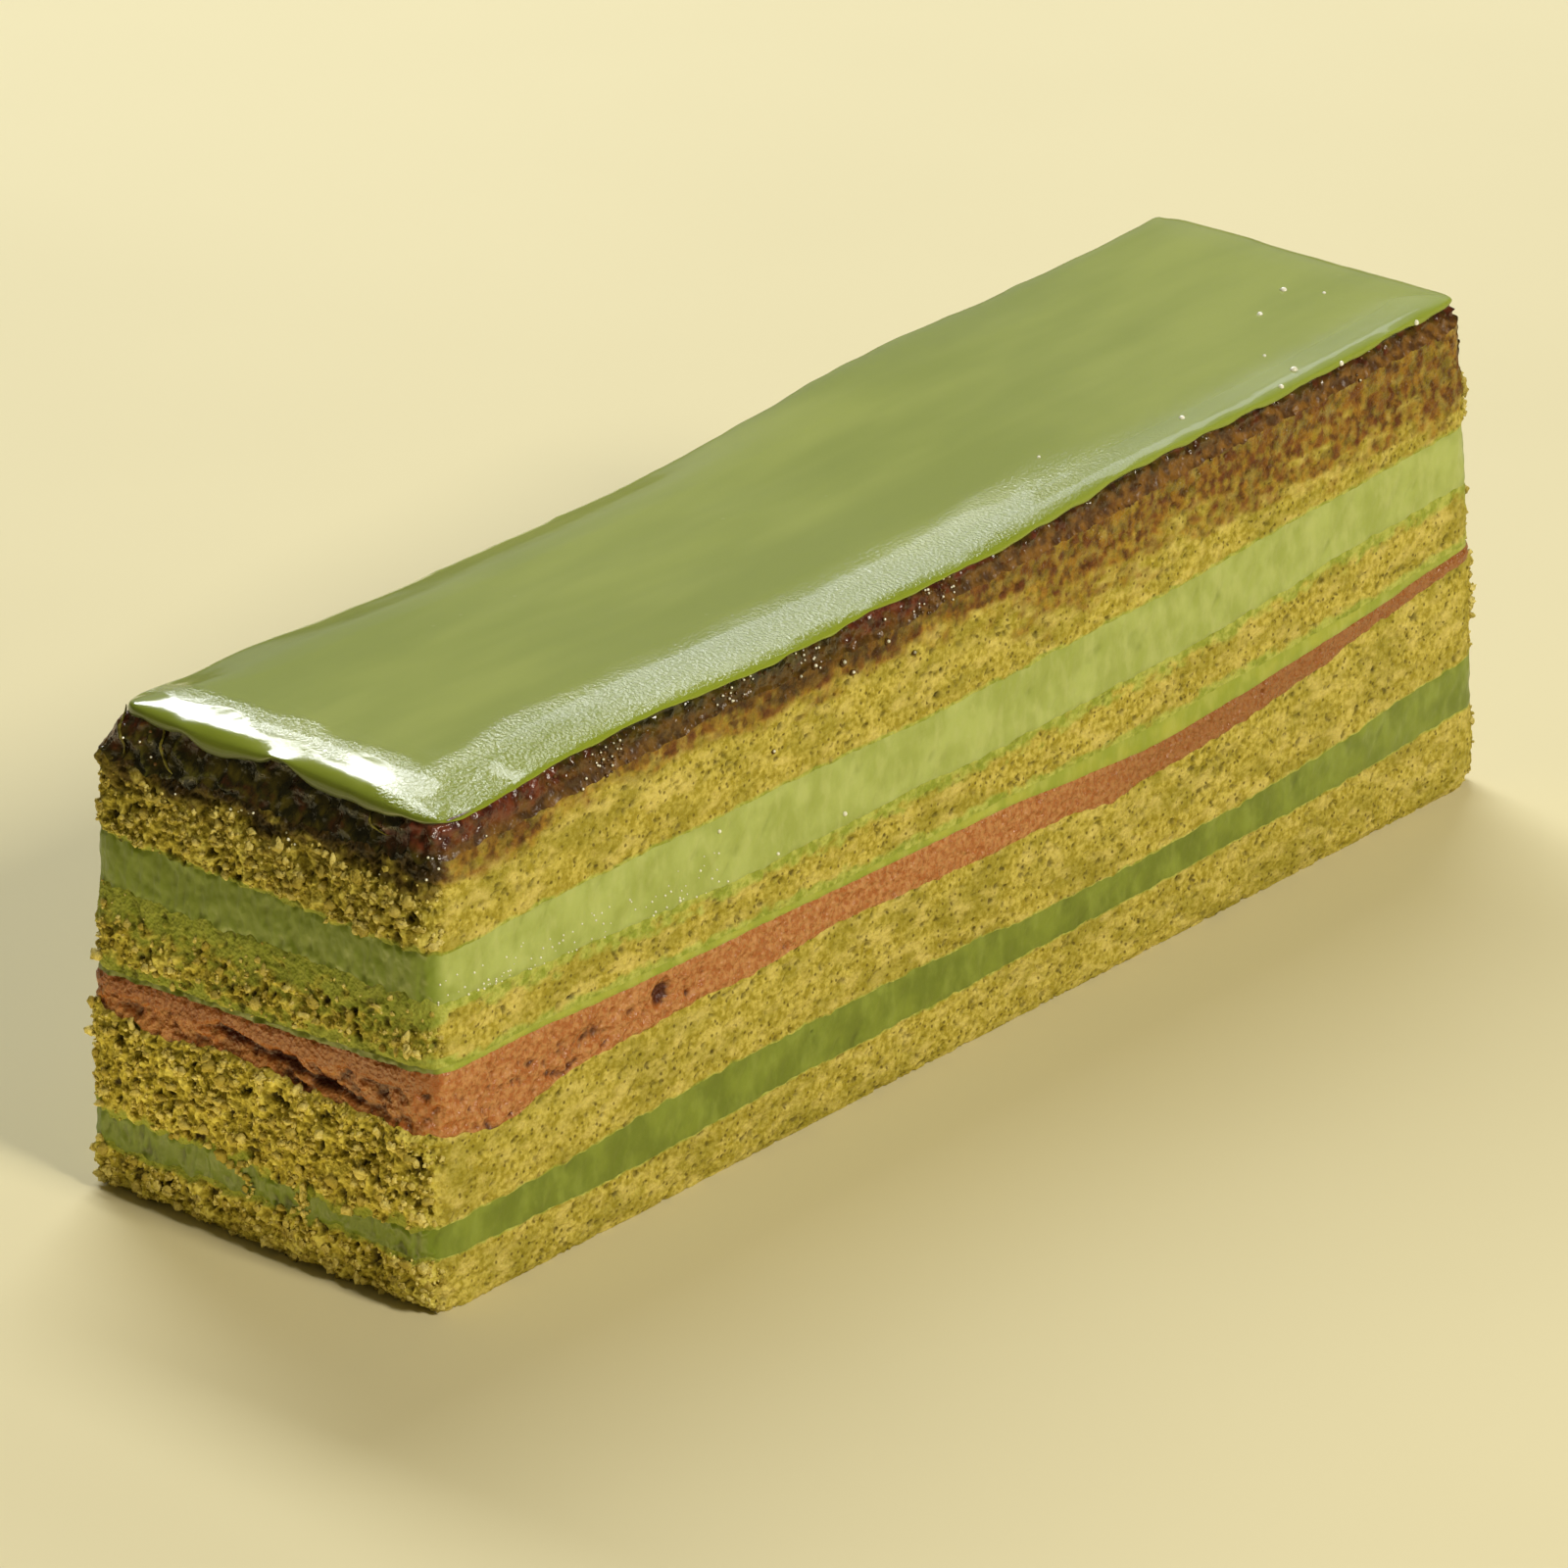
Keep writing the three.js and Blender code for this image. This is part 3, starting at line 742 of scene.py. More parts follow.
def make_cream(order, material, rough):
    """A layer of cream: smooth but for bubbles, `rough` ends and slanting knife marks along its sides."""
    rows = rows_of(order, CREAM_STEP)
    out = 0.07 * layered_noise(rows, 2.6, 220 + order) + 0.03 * layered_noise(rows, 0.9, 225 + order)
    out -= bubbles(rows, 2.0, 0.14, (0.1, 0.3), 230 + order) * 0.7
    out += ON_END * rough * layered_noise(rows, [0.8, 0.8, 1.8], 240 + order)
    deep, slant, size = KNIFE_MARKS
    out += (1 - ON_END) * deep * noise(rows - [0, slant, 0] * rows[..., 2:], size, 245 + order)
    # torn lets the finish paint the ends darker, as painted shade of the end faces, and depth lets it paint
    # pits darker, as painted shade.
    values = {"depth": np.clip(0.5 - 3 * out, 0, 1), "torn": ON_END}
    return make_layer(order, rows, out, material, values)


def groove(rows):
    """How deep the long groove in the red layer's near face is at each point."""
    (x0, z0), (x1, z1), half_width, depth = GROOVE
    t = np.clip((rows[..., 0] - x0) / (x1 - x0), 0, 1)
    off = rows[..., 2] - (z0 + (z1 - z0) * t) + 0.2 * noise(rows, 1.5, 312)
    past = np.maximum(x0 - rows[..., 0], 0) + np.maximum(rows[..., 0] - x1, 0)
    return depth * np.exp(-((off / half_width) ** 2)) * smooth(1.5, 0, past) * NEAR * ON_END


def make_ganache(material):
    """The red layer: pitted sides, scraped near the corner, and ends torn in their lower half."""
    order = 3
    rows = rows_of(order)
    share = height_share(rows)
    q = warped(rows, 1.3, 0.3, 300)
    side = 0.12 * lumps(q, 0.9, 301) + 0.12 * layered_noise(rows, 0.8, 302)
    side -= bubbles(q, 1.4, 0.35, (0.1, 0.4), 303)
    for y, z, radius, depth in RED_PITS:
        away = np.hypot(rows[..., 1] - y, rows[..., 2] - z) / radius
        side -= depth * np.exp(-(away**3)) * ON_RIGHT
    scraped = smooth(*SCRAPED, rows[..., 1]) * smooth(0.85, 0.6, share + 0.2 * noise(rows, 3.0, 313))
    scrapes = 0.32 * layered_noise(q, [1.1, 1.9, 0.8], 310) - bubbles(q, 1.0, 0.35, (0.15, 0.45), 311)
    side += scraped * (scrapes - 0.04)
    flat = rows * [1, 1, 0]
    tear = TEAR_UP_TO + 0.22 * noise(flat, 5.0, 304) + 0.07 * noise(flat, 1.2, 305)
    torn = smooth(0.08, -0.08, share - tear)
    ragged = 0.4 * layered_noise(q, [1.8, 1.8, 1.1], 306) + 0.12 * lumps(q, 0.6, 307)
    ragged -= bubbles(q, 1.1, 0.4, (0.15, 0.45), 308)
    end = torn * (ragged - 0.25) + (1 - torn) * (0.1 + 0.04 * layered_noise(rows, [0.8, 0.8, 3.0], 309))
    end -= groove(rows)
    out = ON_END * end + (1 - ON_END) * (side - 0.02)
    # Hollows and scrapes are marked so that the finish paints them darker, as painted shade.
    in_scrapes = 0.5 * scraped * (1 - ON_END) * smooth(0.0, 0.3, -scrapes)
    # torn: the end faces, less so where torn, which the finish paints darker as painted shade.
    values = {"torn": (1 - 0.5 * torn) * ON_END, "hollow": smooth(0.02, 0.6, -out) + in_scrapes,
              "far": smooth(0, 30, rows[..., 1])}
    return make_layer(order, rows, out, material, values)


def make_film(material):
    """The thin line of cream over the red layer."""
    order = 4
    rows = rows_of(order, CREAM_STEP)
    out = 0.05 * layered_noise(rows, 0.9, 320) + 0.03
    return make_layer(order, rows, out, material, {"torn": ON_END})


def redness(rows):
    """How red the jam is: along the long sides as listed, on the near end at its two corners."""
    return ON_END * smooth(4, 16, rows[..., 0]) * 0.8 + along_sides(RED_SHARE, rows) + bulge(rows)


def make_jam(material):
    """The jam: folded flaps on the ends, beads along the sides."""
    order = 8
    rows = rows_of(order)
    share = height_share(rows)
    q = warped(rows, 1.5, 0.4, 340)
    fold = 1 - np.abs(noise(q, [2.6, 2.6, 2.0], 341))
    flaps = 0.5 * fold**3 + 0.25 * layered_noise(rows, 1.0, 342) - 0.4
    beads = 0.16 * lumps(q, 0.7, 343) + 0.14 * layered_noise(rows, 0.6, 344) - 0.25
    beads -= 0.3 * smooth(0.7, 1.0, share)
    out = ON_END * flaps + (1 - ON_END) * beads
    spots = layered_noise(rows, [1.6, 1.6, 1.0], 345)
    red = smooth(0.35, 0.75, redness(rows) * 0.75 + 0.3 * spots + 0.1) * smooth(0.0, 0.4, share)
    crusty = smooth(0.9, 0.3, share + 0.3 * spots) * (1 - 0.8 * red) * along_sides(CRUST_SHARE, rows)
    values = {"red": red, "crusty": crusty,
              "fold": ON_END * smooth(0.9, 0.99, fold) * smooth(4, -6, rows[..., 0])}
    return make_layer(order, rows, out, material, values)


# === The glaze

def hanging(rim, on_end, near):
    """How far the lip's lower edge hangs down along the rim."""
    drips = sum(drop * np.exp(-(np.abs((rim[:, 0] - x) / half_width) ** 3))
                for x, half_width, drop in DRIPS)
    ends = np.where(near, drips, 0.25 + 0.3 * noise(rim * [1, 1, 0], 3.5, 402))
    sides = 0.05 + 0.12 * noise(rim * [1, 1, 0], 1.8, 403)
    sides = sides + (0.22 + 0.18 * far_half(rim)) * noise(rim * [1, 1, 0], 5.0, 401)
    return on_end * ends + (1 - on_end) * sides


def glaze_bed(rim, ridge):
    """A function for the height of what the glaze lies on, from its long rims and its ridge."""
    stations, evened_over, rounding = 200, 25, 4
    y = np.linspace(LOW[1], HIGH[1], stations)
    weights = np.hanning(evened_over)
    across = rim[:, 0] / HALF_WIDTH

    def line(points):
        points = points[np.argsort(points[:, 1])]
        heights = np.pad(np.interp(y, points[:, 1], points[:, 2]), evened_over // 2, mode="edge")
        return np.convolve(heights, weights / weights.sum(), "valid")

    left, right = line(rim[across < -0.8]), line(rim[across > 0.8])
    middle = line(np.concatenate([ridge, rim[np.abs(across) < 0.03]]))

    def rise(x):
        return np.hypot(x, rounding) - rounding

    def height(place):
        on_left, on_right_side, centre = (np.interp(place[..., 1], y, z) for z in (left, right, middle))
        side = np.where(place[..., 0] > 0, on_right_side, on_left)
        return centre + (side - centre) * rise(place[..., 0]) / rise(0.92 * HALF_WIDTH)

    return height


def lip_rows(rim, round_rim, out_way, round_way, near, bed):
    """Rows of points round the lip. Further in they follow the more rounded rim and the bed."""
    t = np.linspace(0, 1, LIP_ROWS)
    on_ends, on_sides, far_along = (np.array([through(column, t) for column in zip(*section)])
                                    for section in (LIP_ON_ENDS, LIP_ON_SIDES, LIP_FAR_ALONG))
    on_end = smooth(*TURN, np.abs(out_way[:, 1]))
    on_round_end = smooth(0.15, 0.95, np.abs(round_way[:, 1]))
    hang = hanging(rim, on_end, near)
    far = far_half(rim)
    rows = []
    for k in range(LIP_ROWS):
        side = on_sides[:, k, None] + (far_along - on_sides)[:, k, None] * far
        further_in = smooth(*ROUNDER_FROM, (side[0] + on_ends[0, k]) / 2)
        end_share = on_end + (on_round_end - on_end) * further_in
        out, up = side + (on_ends[:, k, None] - side) * end_share
        row = rim + (round_rim - rim) * further_in[:, None]
        row[:, :2] *= 1 + np.minimum(out, 0)[:, None] / [HALF_WIDTH, HALF_LENGTH]
        row[:, :2] += out_way * (np.maximum(out, 0) + bulge(rim))[:, None]
        row[:, 2] += (bed(row) - row[:, 2]) * smooth(*ON_BED_FROM, out)
        row[:, 2] += up * GLAZE_THICKNESS + (1 - up) * HIGHER * far
        row[:, 2] -= smooth(*DRIPS_FADE, t[k]) * hang * (k > 0)
        rows.append(row)
    return np.array(rows)


def top_rows(edge, bed):
    """Rows of points from the lip's inner edge to the ridge along the middle of the top."""
    middle = edge * [0, 1, 1]
    middle[:, 1] = np.clip(edge[:, 1], -RIDGE_SHARE * HALF_LENGTH, RIDGE_SHARE * HALF_LENGTH)
    share = np.linspace(0, 1, TOP_ROWS + 1)[1:, None, None] ** 1.1
    flat = edge + (middle - edge) * share
    lower = bed(edge) + GLAZE_THICKNESS - edge[:, 2]
    share = share[..., 0]
    flat[..., 2] = bed(flat) + GLAZE_THICKNESS - lower * (1 - share * (1.2 + share * (0.6 - 0.8 * share)))
    return flat


def glaze_outline():
    """The glaze's rim with every second point, widely rounded at the near left, the rim that is so
    rounded at all corners, and the directions out of both."""
    widths = (GLAZE_SOFTNESS, WIDEST_SOFTNESS)
    plain, round_rim = (fine(BORDERS[9][0], width)[::2] for width in widths)
    ways = [sampled(outward(BORDERS[9][0], width), GRADED)[::2] for width in widths]
    share = near_left(plain)[:, None]
    return plain + (round_rim - plain) * share, round_rim, ways[0] + (ways[1] - ways[0]) * share, ways[1]


def glaze_waves(rows, lip_share):
    """How far the glaze waves up and down from point to point, and where it has its fine ripples."""
    from_side = HALF_WIDTH - rows[..., 0]
    from_end = rows[..., 1] - LOW[1] + noise(rows, [5, 2, 3], 415)
    flat = rows * [1, 1, 0]
    rippled = smooth(*RIPPLES_FROM_SIDE, from_side + 1.4 * noise(rows, [3, 9, 3], 413))
    rippled = rippled * smooth(*RIPPLES_ALONG, rows[..., 1])
    starts, stops = RIPPLES_BEHIND_END
    rippled = np.maximum(rippled, smooth(*starts, from_end) * smooth(*stops, from_end))
    rippled = rippled * smooth(*RIPPLES_FROM, lip_share)
    wave = 0.03 * layered_noise(rows * [1, 0.3, 0], 7.0, 410, 2) - 0.03
    wave += 0.006 * layered_noise(rows, 0.9, 411)
    wave += rippled * 0.015 * noise(rows, 0.5, 412)
    wave += smooth(10, 7, from_end) * 0.035 * layered_noise(flat, [7, 3, 1], 417, 2)
    beside = smooth(11, 5, from_side) * smooth(34, 12, rows[..., 1])
    wave += beside * 0.02 * layered_noise(flat, [2.4, 6.5, 1], 418, 2)
    wave -= SLUMP * smooth(*SLUMP_FROM_SIDE, from_side) * smooth(*SLUMP_FROM_END, from_end)
    return wave * smooth(*WAVES_FROM, lip_share), rippled


def make_glaze(material):
    """The glaze: its lip, its top and a cap below. Gives the top's surface."""
    rim, ridge = BORDERS[9]
    bed = glaze_bed(rim, ridge)
    outline = glaze_outline()
    lip = lip_rows(*outline, NEAR[::2], bed)
    rows = np.concatenate([lip, top_rows(lip[-1], bed)])
    levels, count = rows.shape[:2]
    lip_share = np.minimum(np.arange(levels) / (LIP_ROWS - 1), 1)[:, None]
    wave, rippled = glaze_waves(rows, lip_share)
    rows[..., 2] += wave
    under = [face[::-1] for face in cap_faces(rows[0], RIDGES[9], 0, levels * count)]
    edge = 1 - smooth(*EDGE_ENDS, lip_share)
    # The lip's front on the near end is painted darker, darkest at its lower edge: painted shade.
    on_front = smooth(0.3, 0.8, -outline[2][:, 1])
    below = on_front * smooth(*SHADE_FADES, lip_share)
    dull = smooth(1.0, 0.4, lip_share) * far_half(rows) * smooth(0.3, 0.8, outline[2][:, 0])
    values = {"edge": edge, "rippled": rippled, "front": edge * on_front, "below": below,
              "dull": np.maximum(dull, below)}
    layer_object("glaze", rows, [RIDGES[9]], under + wall_faces(levels, count), material, values,
                 flat=len(under), sharp=[(0, count)])
    return rows


# === Small loose things

def ball(detail):
    """Corners and triangles of a round ball of radius 1."""
    mesh = bmesh.new()
    bmesh.ops.create_icosphere(mesh, subdivisions=detail, radius=1.0)
    corners = np.array([corner.co[:] for corner in mesh.verts])
    faces = np.array([[corner.index for corner in face.verts] for face in mesh.faces])
    mesh.free()
    return corners, faces


def scattered(surfaces, weights, count, rng):
    """Random places on the layers' faces, more where the weights are high, and the directions out."""
    points = np.concatenate([surface.reshape(-1, 3) for surface in surfaces])
    column = np.concatenate([np.arange(surface[..., 0].size) % surface.shape[1] for surface in surfaces])
    chance = np.concatenate([weight.ravel() for weight in weights])
    picked = rng.choice(len(points), count, p=chance / chance.sum())
    out = np.concatenate([OUTWARD[column[picked]], np.zeros((count, 1))], axis=1)
    return points[picked], out


def make_crumbs(name, surfaces, weights, count, detail, radii, material):
    """Irregular crumbs that cling to the sponges' torn ends."""
    rng = np.random.default_rng(count)
    corners, faces = ball(detail)
    centre, out = scattered(surfaces, weights, count, rng)
    radius = radii[0] + (radii[1] - radii[0]) * rng.random(count) ** 2
    stretch = rng.uniform(0.6, 1.5, (count, 3))
    shift = rng.uniform(0, 1000, (count, 1, 3))
    uneven = 1 + 0.75 * noise(corners + shift, 0.8, 600)[..., None]
    centre = centre + out * (0.3 * radius)[:, None]
    shapes = corners * uneven * (radius[:, None] * stretch)[:, None] + centre[:, None]
    loose_object(name, shapes, faces, material, {"tone": rng.random(count)})


def make_drops(name, places, material):
    """Small round drops: each has a centre, a direction out and a radius."""
    corners, faces = ball(2)
    centre, out, radius = (np.array(column) for column in zip(*places))
    centre = centre + out * (PROUD * radius)[:, None]
    loose_object(name, corners * radius[:, None, None] + centre[:, None], faces, material)


def on_face(surfaces, there, way, place):
    """The point of a face at a place, and the direction out. What the place says along it is left out."""
    points = np.concatenate([surface[:, there].reshape(-1, 3) for surface in surfaces])
    way = np.array(way, dtype=float)
    nearest = np.argmin((((points - place) * (way == 0)) ** 2).sum(axis=1))
    return points[nearest], way


def on_right(surfaces, y, z):
    return on_face(surfaces, ON_RIGHT > 0.9, (1, 0, 0), (0, y, z))


def on_near(surfaces, x, z, most=0.5):
    return on_face(surfaces, ON_END * NEAR > most, (0, -1, 0), (x, 0, z))


def glint_on(drop):
    """The pale bead on a drop's sunny side that paints its highlight."""
    centre, out, radius = drop
    return centre + (out * PROUD + SUNNY_SIDE) * radius, out, 0.3 * radius + 0.05


def bubble_on(surface, x, y, radius):
    """A bubble on the glaze's top as a pale bead, its painted highlight, a little sunk: its place, the
    direction up and its radius.
    """
    point, up = on_face([surface], slice(None), (0, 0, 1), (x, y, 0))
    return point - 0.4 * radius * up, up, radius


def evened(values):
    """Values of an open row, evened out with their neighbours."""
    padded = np.pad(values, 1, mode="edge")
    return (padded[:-2] + padded[1:-1] + padded[2:]) / 3


def make_strings(surface, material):
    """Thin strings of jam that hang down the near end. Each is a closed tube, from its foot up."""
    sides, rings, widest, proud = 6, 14, 0.13, 0.12
    t = np.linspace(1, 0, rings)
    angle = np.arange(sides) * 2 * math.pi / sides
    ring = np.stack([np.cos(angle), np.sin(angle), 0 * angle], axis=1)
    radius = widest * np.sin(np.pi * (0.1 + 0.8 * t))[:, None, None]
    shapes = []
    for path in STRINGS:
        x, z = (through([place[k] for place in path], t) for k in (0, 1))
        y = np.array([on_near([surface], *place, 0.9)[0][1] - proud for place in zip(x, z)])
        middle = np.stack([x, evened(y), z], axis=1)
        shapes.append((middle[:, None] + ring * radius).reshape(-1, 3))
    last = (rings - 1) * sides
    caps = [[5, 2, 1, 0], [5, 4, 3, 2], [last, last + 1, last + 2, last + 5],
            [last + 2, last + 3, last + 4, last + 5]]
    tube = np.array(wall_faces(rings, sides) + caps)
    loose_object("jam_strings", np.array(shapes), tube, material)


# === Materials

# The numbers of the colour sockets of a Mix node, two to put in and one to take out.
FIRST_COLOUR, SECOND_COLOUR, MIXED_COLOUR = 6, 7, 2


def rgb(text):
    """A colour written as six hexadecimal digits, as the linear values that sockets take."""
    parts = [int(text[i:i + 2], 16) / 255 for i in (0, 2, 4)]
    return tuple(c / 12.92 if c <= 0.04045 else ((c + 0.055) / 1.055) ** 2.4 for c in parts) + (1.0,)


class Finish:
    """A material's nodes, made one by one."""

    def __init__(self, name, rough, specular, under=None, coat=None):
        """`under` is how much light goes under the surface, how far its red, green and blue go as shares,
        and how far that is in mm. `coat` is a coat's weight and roughness."""
        self.material = bpy.data.materials.new(name)
        self.material.use_nodes = True
        self.tree = self.material.node_tree
        self.shader = self.tree.nodes["Principled BSDF"]
        self.place = self.node("TexCoord", {}, "Object")
        fixed = {"Roughness": rough, "Specular IOR Level": specular}
        if under:
            fixed["Subsurface Weight"], fixed["Subsurface Radius"] = under[:2]
            fixed["Subsurface Scale"] = under[2] * MM
        if coat:
            fixed["Coat Weight"], fixed["Coat Roughness"] = coat
        for socket, value in fixed.items():
            self.shader.inputs[socket].default_value = value

    def node(self, kind, inputs, output, **settings):
        """A new node's output. Its inputs are numbers, colours as text or other nodes' outputs."""
        node = self.tree.nodes.new("ShaderNode" + kind)
        for name, value in settings.items():
            setattr(node, name, value)
        for name, value in inputs.items():
            if isinstance(value, bpy.types.NodeSocket):
                self.tree.links.new(value, node.inputs[name])
            else:
                node.inputs[name].default_value = rgb(value) if isinstance(value, str) else value
        return node.outputs[output]

    def value(self, name, most=1.0):
        """A value that the mesh carries on its points, times `most`."""
        carried = self.node("Attribute", {}, "Fac", attribute_name=name)
        return carried if most == 1 else self.times(carried, most)

    def noise(self, size, detail, stretch=None):
        """Noise with bumps `size` mm across, from 0 to 1."""
        place = self.place
        if stretch:
            place = self.node("Mapping", {"Scale": stretch, "Vector": place}, "Vector")
        return self.node("TexNoise", {"Scale": 1 / (size * MM), "Detail": detail, "Vector": place}, "Fac")

    def cells(self, size):
        """Distance to the nearest of scattered points about `size` mm apart."""
        return self.node("TexVoronoi", {"Scale": 1 / (size * MM), "Vector": self.place}, "Distance")

    def ramp(self, source, low, high, start=0.0, end=1.0):
        """A smooth step of a value from `start` to `end` between `low` and `high`."""
        inputs = {"Value": source, "From Min": low, "From Max": high, "To Min": start, "To Max": end}
        return self.node("MapRange", inputs, "Result", interpolation_type="SMOOTHSTEP")

    def times(self, first, second):
        return self.node("Math", {0: first, 1: second}, "Value", operation="MULTIPLY")

    def mix(self, share, first, second):
        """A mix of two colours, each a text of hexadecimal digits or a node's output."""
        inputs = {"Factor": share, FIRST_COLOUR: first, SECOND_COLOUR: second}
        return self.node("Mix", inputs, MIXED_COLOUR, data_type="RGBA")

    def mottled(self, first, second, size, detail, levels, most=1.0, stretch=None):
        """The first colour with patches of the second, which fade in between two levels of noise."""
        return self.mix(self.ramp(self.noise(size, detail, stretch), *levels, 0, most), first, second)

    def where(self, name, first, second, most=1.0, levels=None):
        """The first colour, and the second where a value of the mesh is high."""
        share = self.ramp(self.value(name), *levels, 0, most) if levels else self.value(name, most)
        return self.mix(share, first, second)

    def colour(self, source):
        self.tree.links.new(source, self.shader.inputs["Base Color"])

    def rough(self, source, share=None, more=0.0):
        """The roughness. Where the share is high it grows by as much as `more`."""
        if share is not None:
            source = self.node("Math", {0: share, 1: more, 2: source}, "Value", operation="MULTIPLY_ADD")
        self.tree.links.new(source, self.shader.inputs["Roughness"])

    def bump(self, *layers):
        """Fine relief: each layer is a height from 0 to 1 and its size in mm."""
        under = {}
        for height, size in layers:
            normal = self.node("Bump", {"Distance": size * MM, "Height": height, **under}, "Normal")
            under = {"Normal": normal}
        self.tree.links.new(normal, self.shader.inputs["Normal"])


def sponge_finish(name, soaked=False):
    f = Finish(name, 0.65, 0.25, under=(0.08, (1.0, 0.8, 0.2), 0.6))
    base = f.mottled("a09028", "cebe5a", 0.5, 4, (0.35, 0.66))
    base = f.mottled(base, "8e8422", 3.2, 4, (0.38, 0.66), 0.6, (1, 0.6, 1.4))
    base = f.mottled(base, "decc74", 1.6, 4, (0.46, 0.72), 0.65, (1, 0.7, 1.3))
    # Dark dots: painted shade inside fine pores.
    base = f.mix(f.ramp(f.cells(0.7), 0.28, 0.1, 0, 0.8), base, "5c4e12")
    bright = f.mottled("8c7e16", "ccbe52", 0.5, 3, (0.35, 0.65))
    # Raised torn crumb is painted pale: painted highlight where light catches it.
    bright = f.where("hollow", bright, "ece078", 1, (0.0, -0.5))
    base = f.where("torn", base, bright, 0.85)
    green = f.mottled("8c9c34", "b8c05c", 0.9, 3, (0.38, 0.62))
    # On the ends the smear is painted darker: painted shade of the end faces.
    green = f.where("torn", green, "7c8a2c", 0.7)
    base = f.where("smear", base, green, 0.85)
    if soaked:
        stain = f.mottled("5a380e", "a67c24", 0.9, 5, (0.35, 0.65))
        stain = f.mottled(stain, "70381a", 2.0, 5, (0.42, 0.66), 0.7)
        # On the ends the stain is painted more olive: painted shade of the end faces.
        stain = f.where("torn", stain, "625414", 0.85)
        syrup = f.mottled("34200e", "604218", 0.9, 4, (0.35, 0.65))
        # On the ends the syrup is painted darker: painted shade of the end faces.
        syrup = f.where("torn", syrup, "282208", 0.7)
        seeping = f.ramp(f.noise(1.0, 4), 0.36, 0.58, 0.5, 1.0)
        base = f.mix(f.times(f.ramp(f.value("soak"), 0.0, 0.4), seeping), base, stain)
        base = f.where("syrup", base, syrup)
        f.rough(f.ramp(f.value("soak"), 0.3, 0.8, 0.65, 0.28))
    # Hollow points are painted darker: painted shade in the sponge's hollows.
    f.colour(f.where("hollow", base, "342a06", 1, (0.1, 0.9)))
    f.bump((f.cells(0.3), 0.11), (f.noise(0.12, 2), 0.04))
    return f.material


def crumb_finish():
    f = Finish("crumb", 0.65, 0.25, under=(0.1, (1.0, 0.8, 0.2), 0.4))
    base = f.where("tone", "a4923a", "e8da88")
    f.colour(f.mottled(base, "a8983c", 0.25, 3, (0.4, 0.65), 0.6))
    f.bump((f.cells(0.2), 0.06), (f.noise(0.1, 2), 0.03))
    return f.material


def cream_finish(name, pale, light, dark, deep, pitted):
    f = Finish(name, 0.4, 0.45, under=(0.3, (1.0, 1.0, 0.35), 1.2))
    base = f.mottled(dark, light, 3.0, 4, (0.35, 0.68))
    base = f.mottled(base, pale, 1.3, 4, (0.45, 0.7), 0.45, (1, 1, 0.5))
    # On the ends the cream takes the deeper colour: painted shade of the end faces.
    base = f.where("torn", base, deep, 0.85)
    # Deep pits and bubbles are painted darker: painted shade.
    f.colour(f.where("depth", base, pitted, 0.7, (0.62, 1.0)))
    f.rough(f.ramp(f.noise(1.2, 3), 0.35, 0.65, 0.3, 0.5))
    f.bump((f.noise(0.8, 3, (1, 1, 0.4)), 0.05), (f.noise(0.25, 2), 0.02))
    return f.material


def ganache_finish():
    f = Finish("ganache", 0.4, 0.5, under=(0.1, (1.0, 0.4, 0.2), 0.6))
    base = f.mottled("a8622e", "c48c54", 0.5, 4, (0.32, 0.7))
    # The end faces are painted darker, most where not torn: painted shade of the end faces.
    base = f.where("torn", base, "884818", 0.75, (0.2, 0.8))
    base = f.where("far", base, "86501e", 0.6)
    # Hollow points are painted darker: painted shade.
    f.colour(f.where("hollow", base, "4c1c0a", 1, (0.1, 1.0)))
    f.rough(f.ramp(f.noise(0.5, 2), 0.35, 0.65, 0.12, 0.45))
    f.bump((f.cells(0.4), 0.14), (f.noise(0.25, 3), 0.12))
    return f.material


def jam_finish():
    f = Finish("jam", 0.2, 0.5)
    base = f.mottled("181604", "443c10", 1.2, 3, (0.38, 0.66))
    base = f.mottled(base, "40200e", 1.9, 3, (0.52, 0.66), 0.8)
    base = f.where("fold", base, "5c5a20", 0.6)
    base = f.where("red", base, f.mottled("3c120a", "68301c", 1.0, 3, (0.35, 0.65)))
    f.colour(f.where("crusty", base, f.mottled("4a2c0c", "80581c", 1.0, 4, (0.35, 0.65))))
    f.rough(f.ramp(f.value("crusty"), 0.2, 0.8, 0.15, 0.45), f.value("red"), 0.12)
    f.bump((f.noise(0.6, 3), 0.12), (f.cells(0.35), 0.05))
    return f.material


def wet_finish(name, rough, specular, dark, light, size):
    """The finish of drops, of the pale beads that paint glints as highlights, and of strings."""
    f = Finish(name, rough, specular)
    f.colour(f.mottled(dark, light, size, 2, (0.35, 0.65)))
    return f.material


def glaze_finish():
    f = Finish("glaze", 0.2, 0.5, under=(0.25, (0.9, 1.0, 0.25), 1.5), coat=(0.3, 0.08))
    base = f.mottled("808e2a", "929e3c", 9, 3, (0.35, 0.7), 1, (1, 0.25, 1))
    base = f.mix(f.ramp(f.cells(5.0), 0.05, 0.0, 0, 0.5), base, "a0aa60")
    base = f.where("edge", base, "86962a")
    # The lip's front is painted darker, and its lower edge darker still: painted shade.
    base = f.where("front", base, "68742a", 0.8)
    f.colour(f.where("below", base, "2e340e", 0.8))
    f.rough(f.ramp(f.value("rippled"), 0.0, 1.0, 0.16, 0.2), f.value("dull"), 0.5)
    ripple = f.times(f.noise(0.3, 2), f.ramp(f.value("rippled"), 0, 1, 0.06, 1.0))
    f.bump((ripple, 0.15), (f.noise(3.0, 2), 0.02))
    return f.material


# === The cake

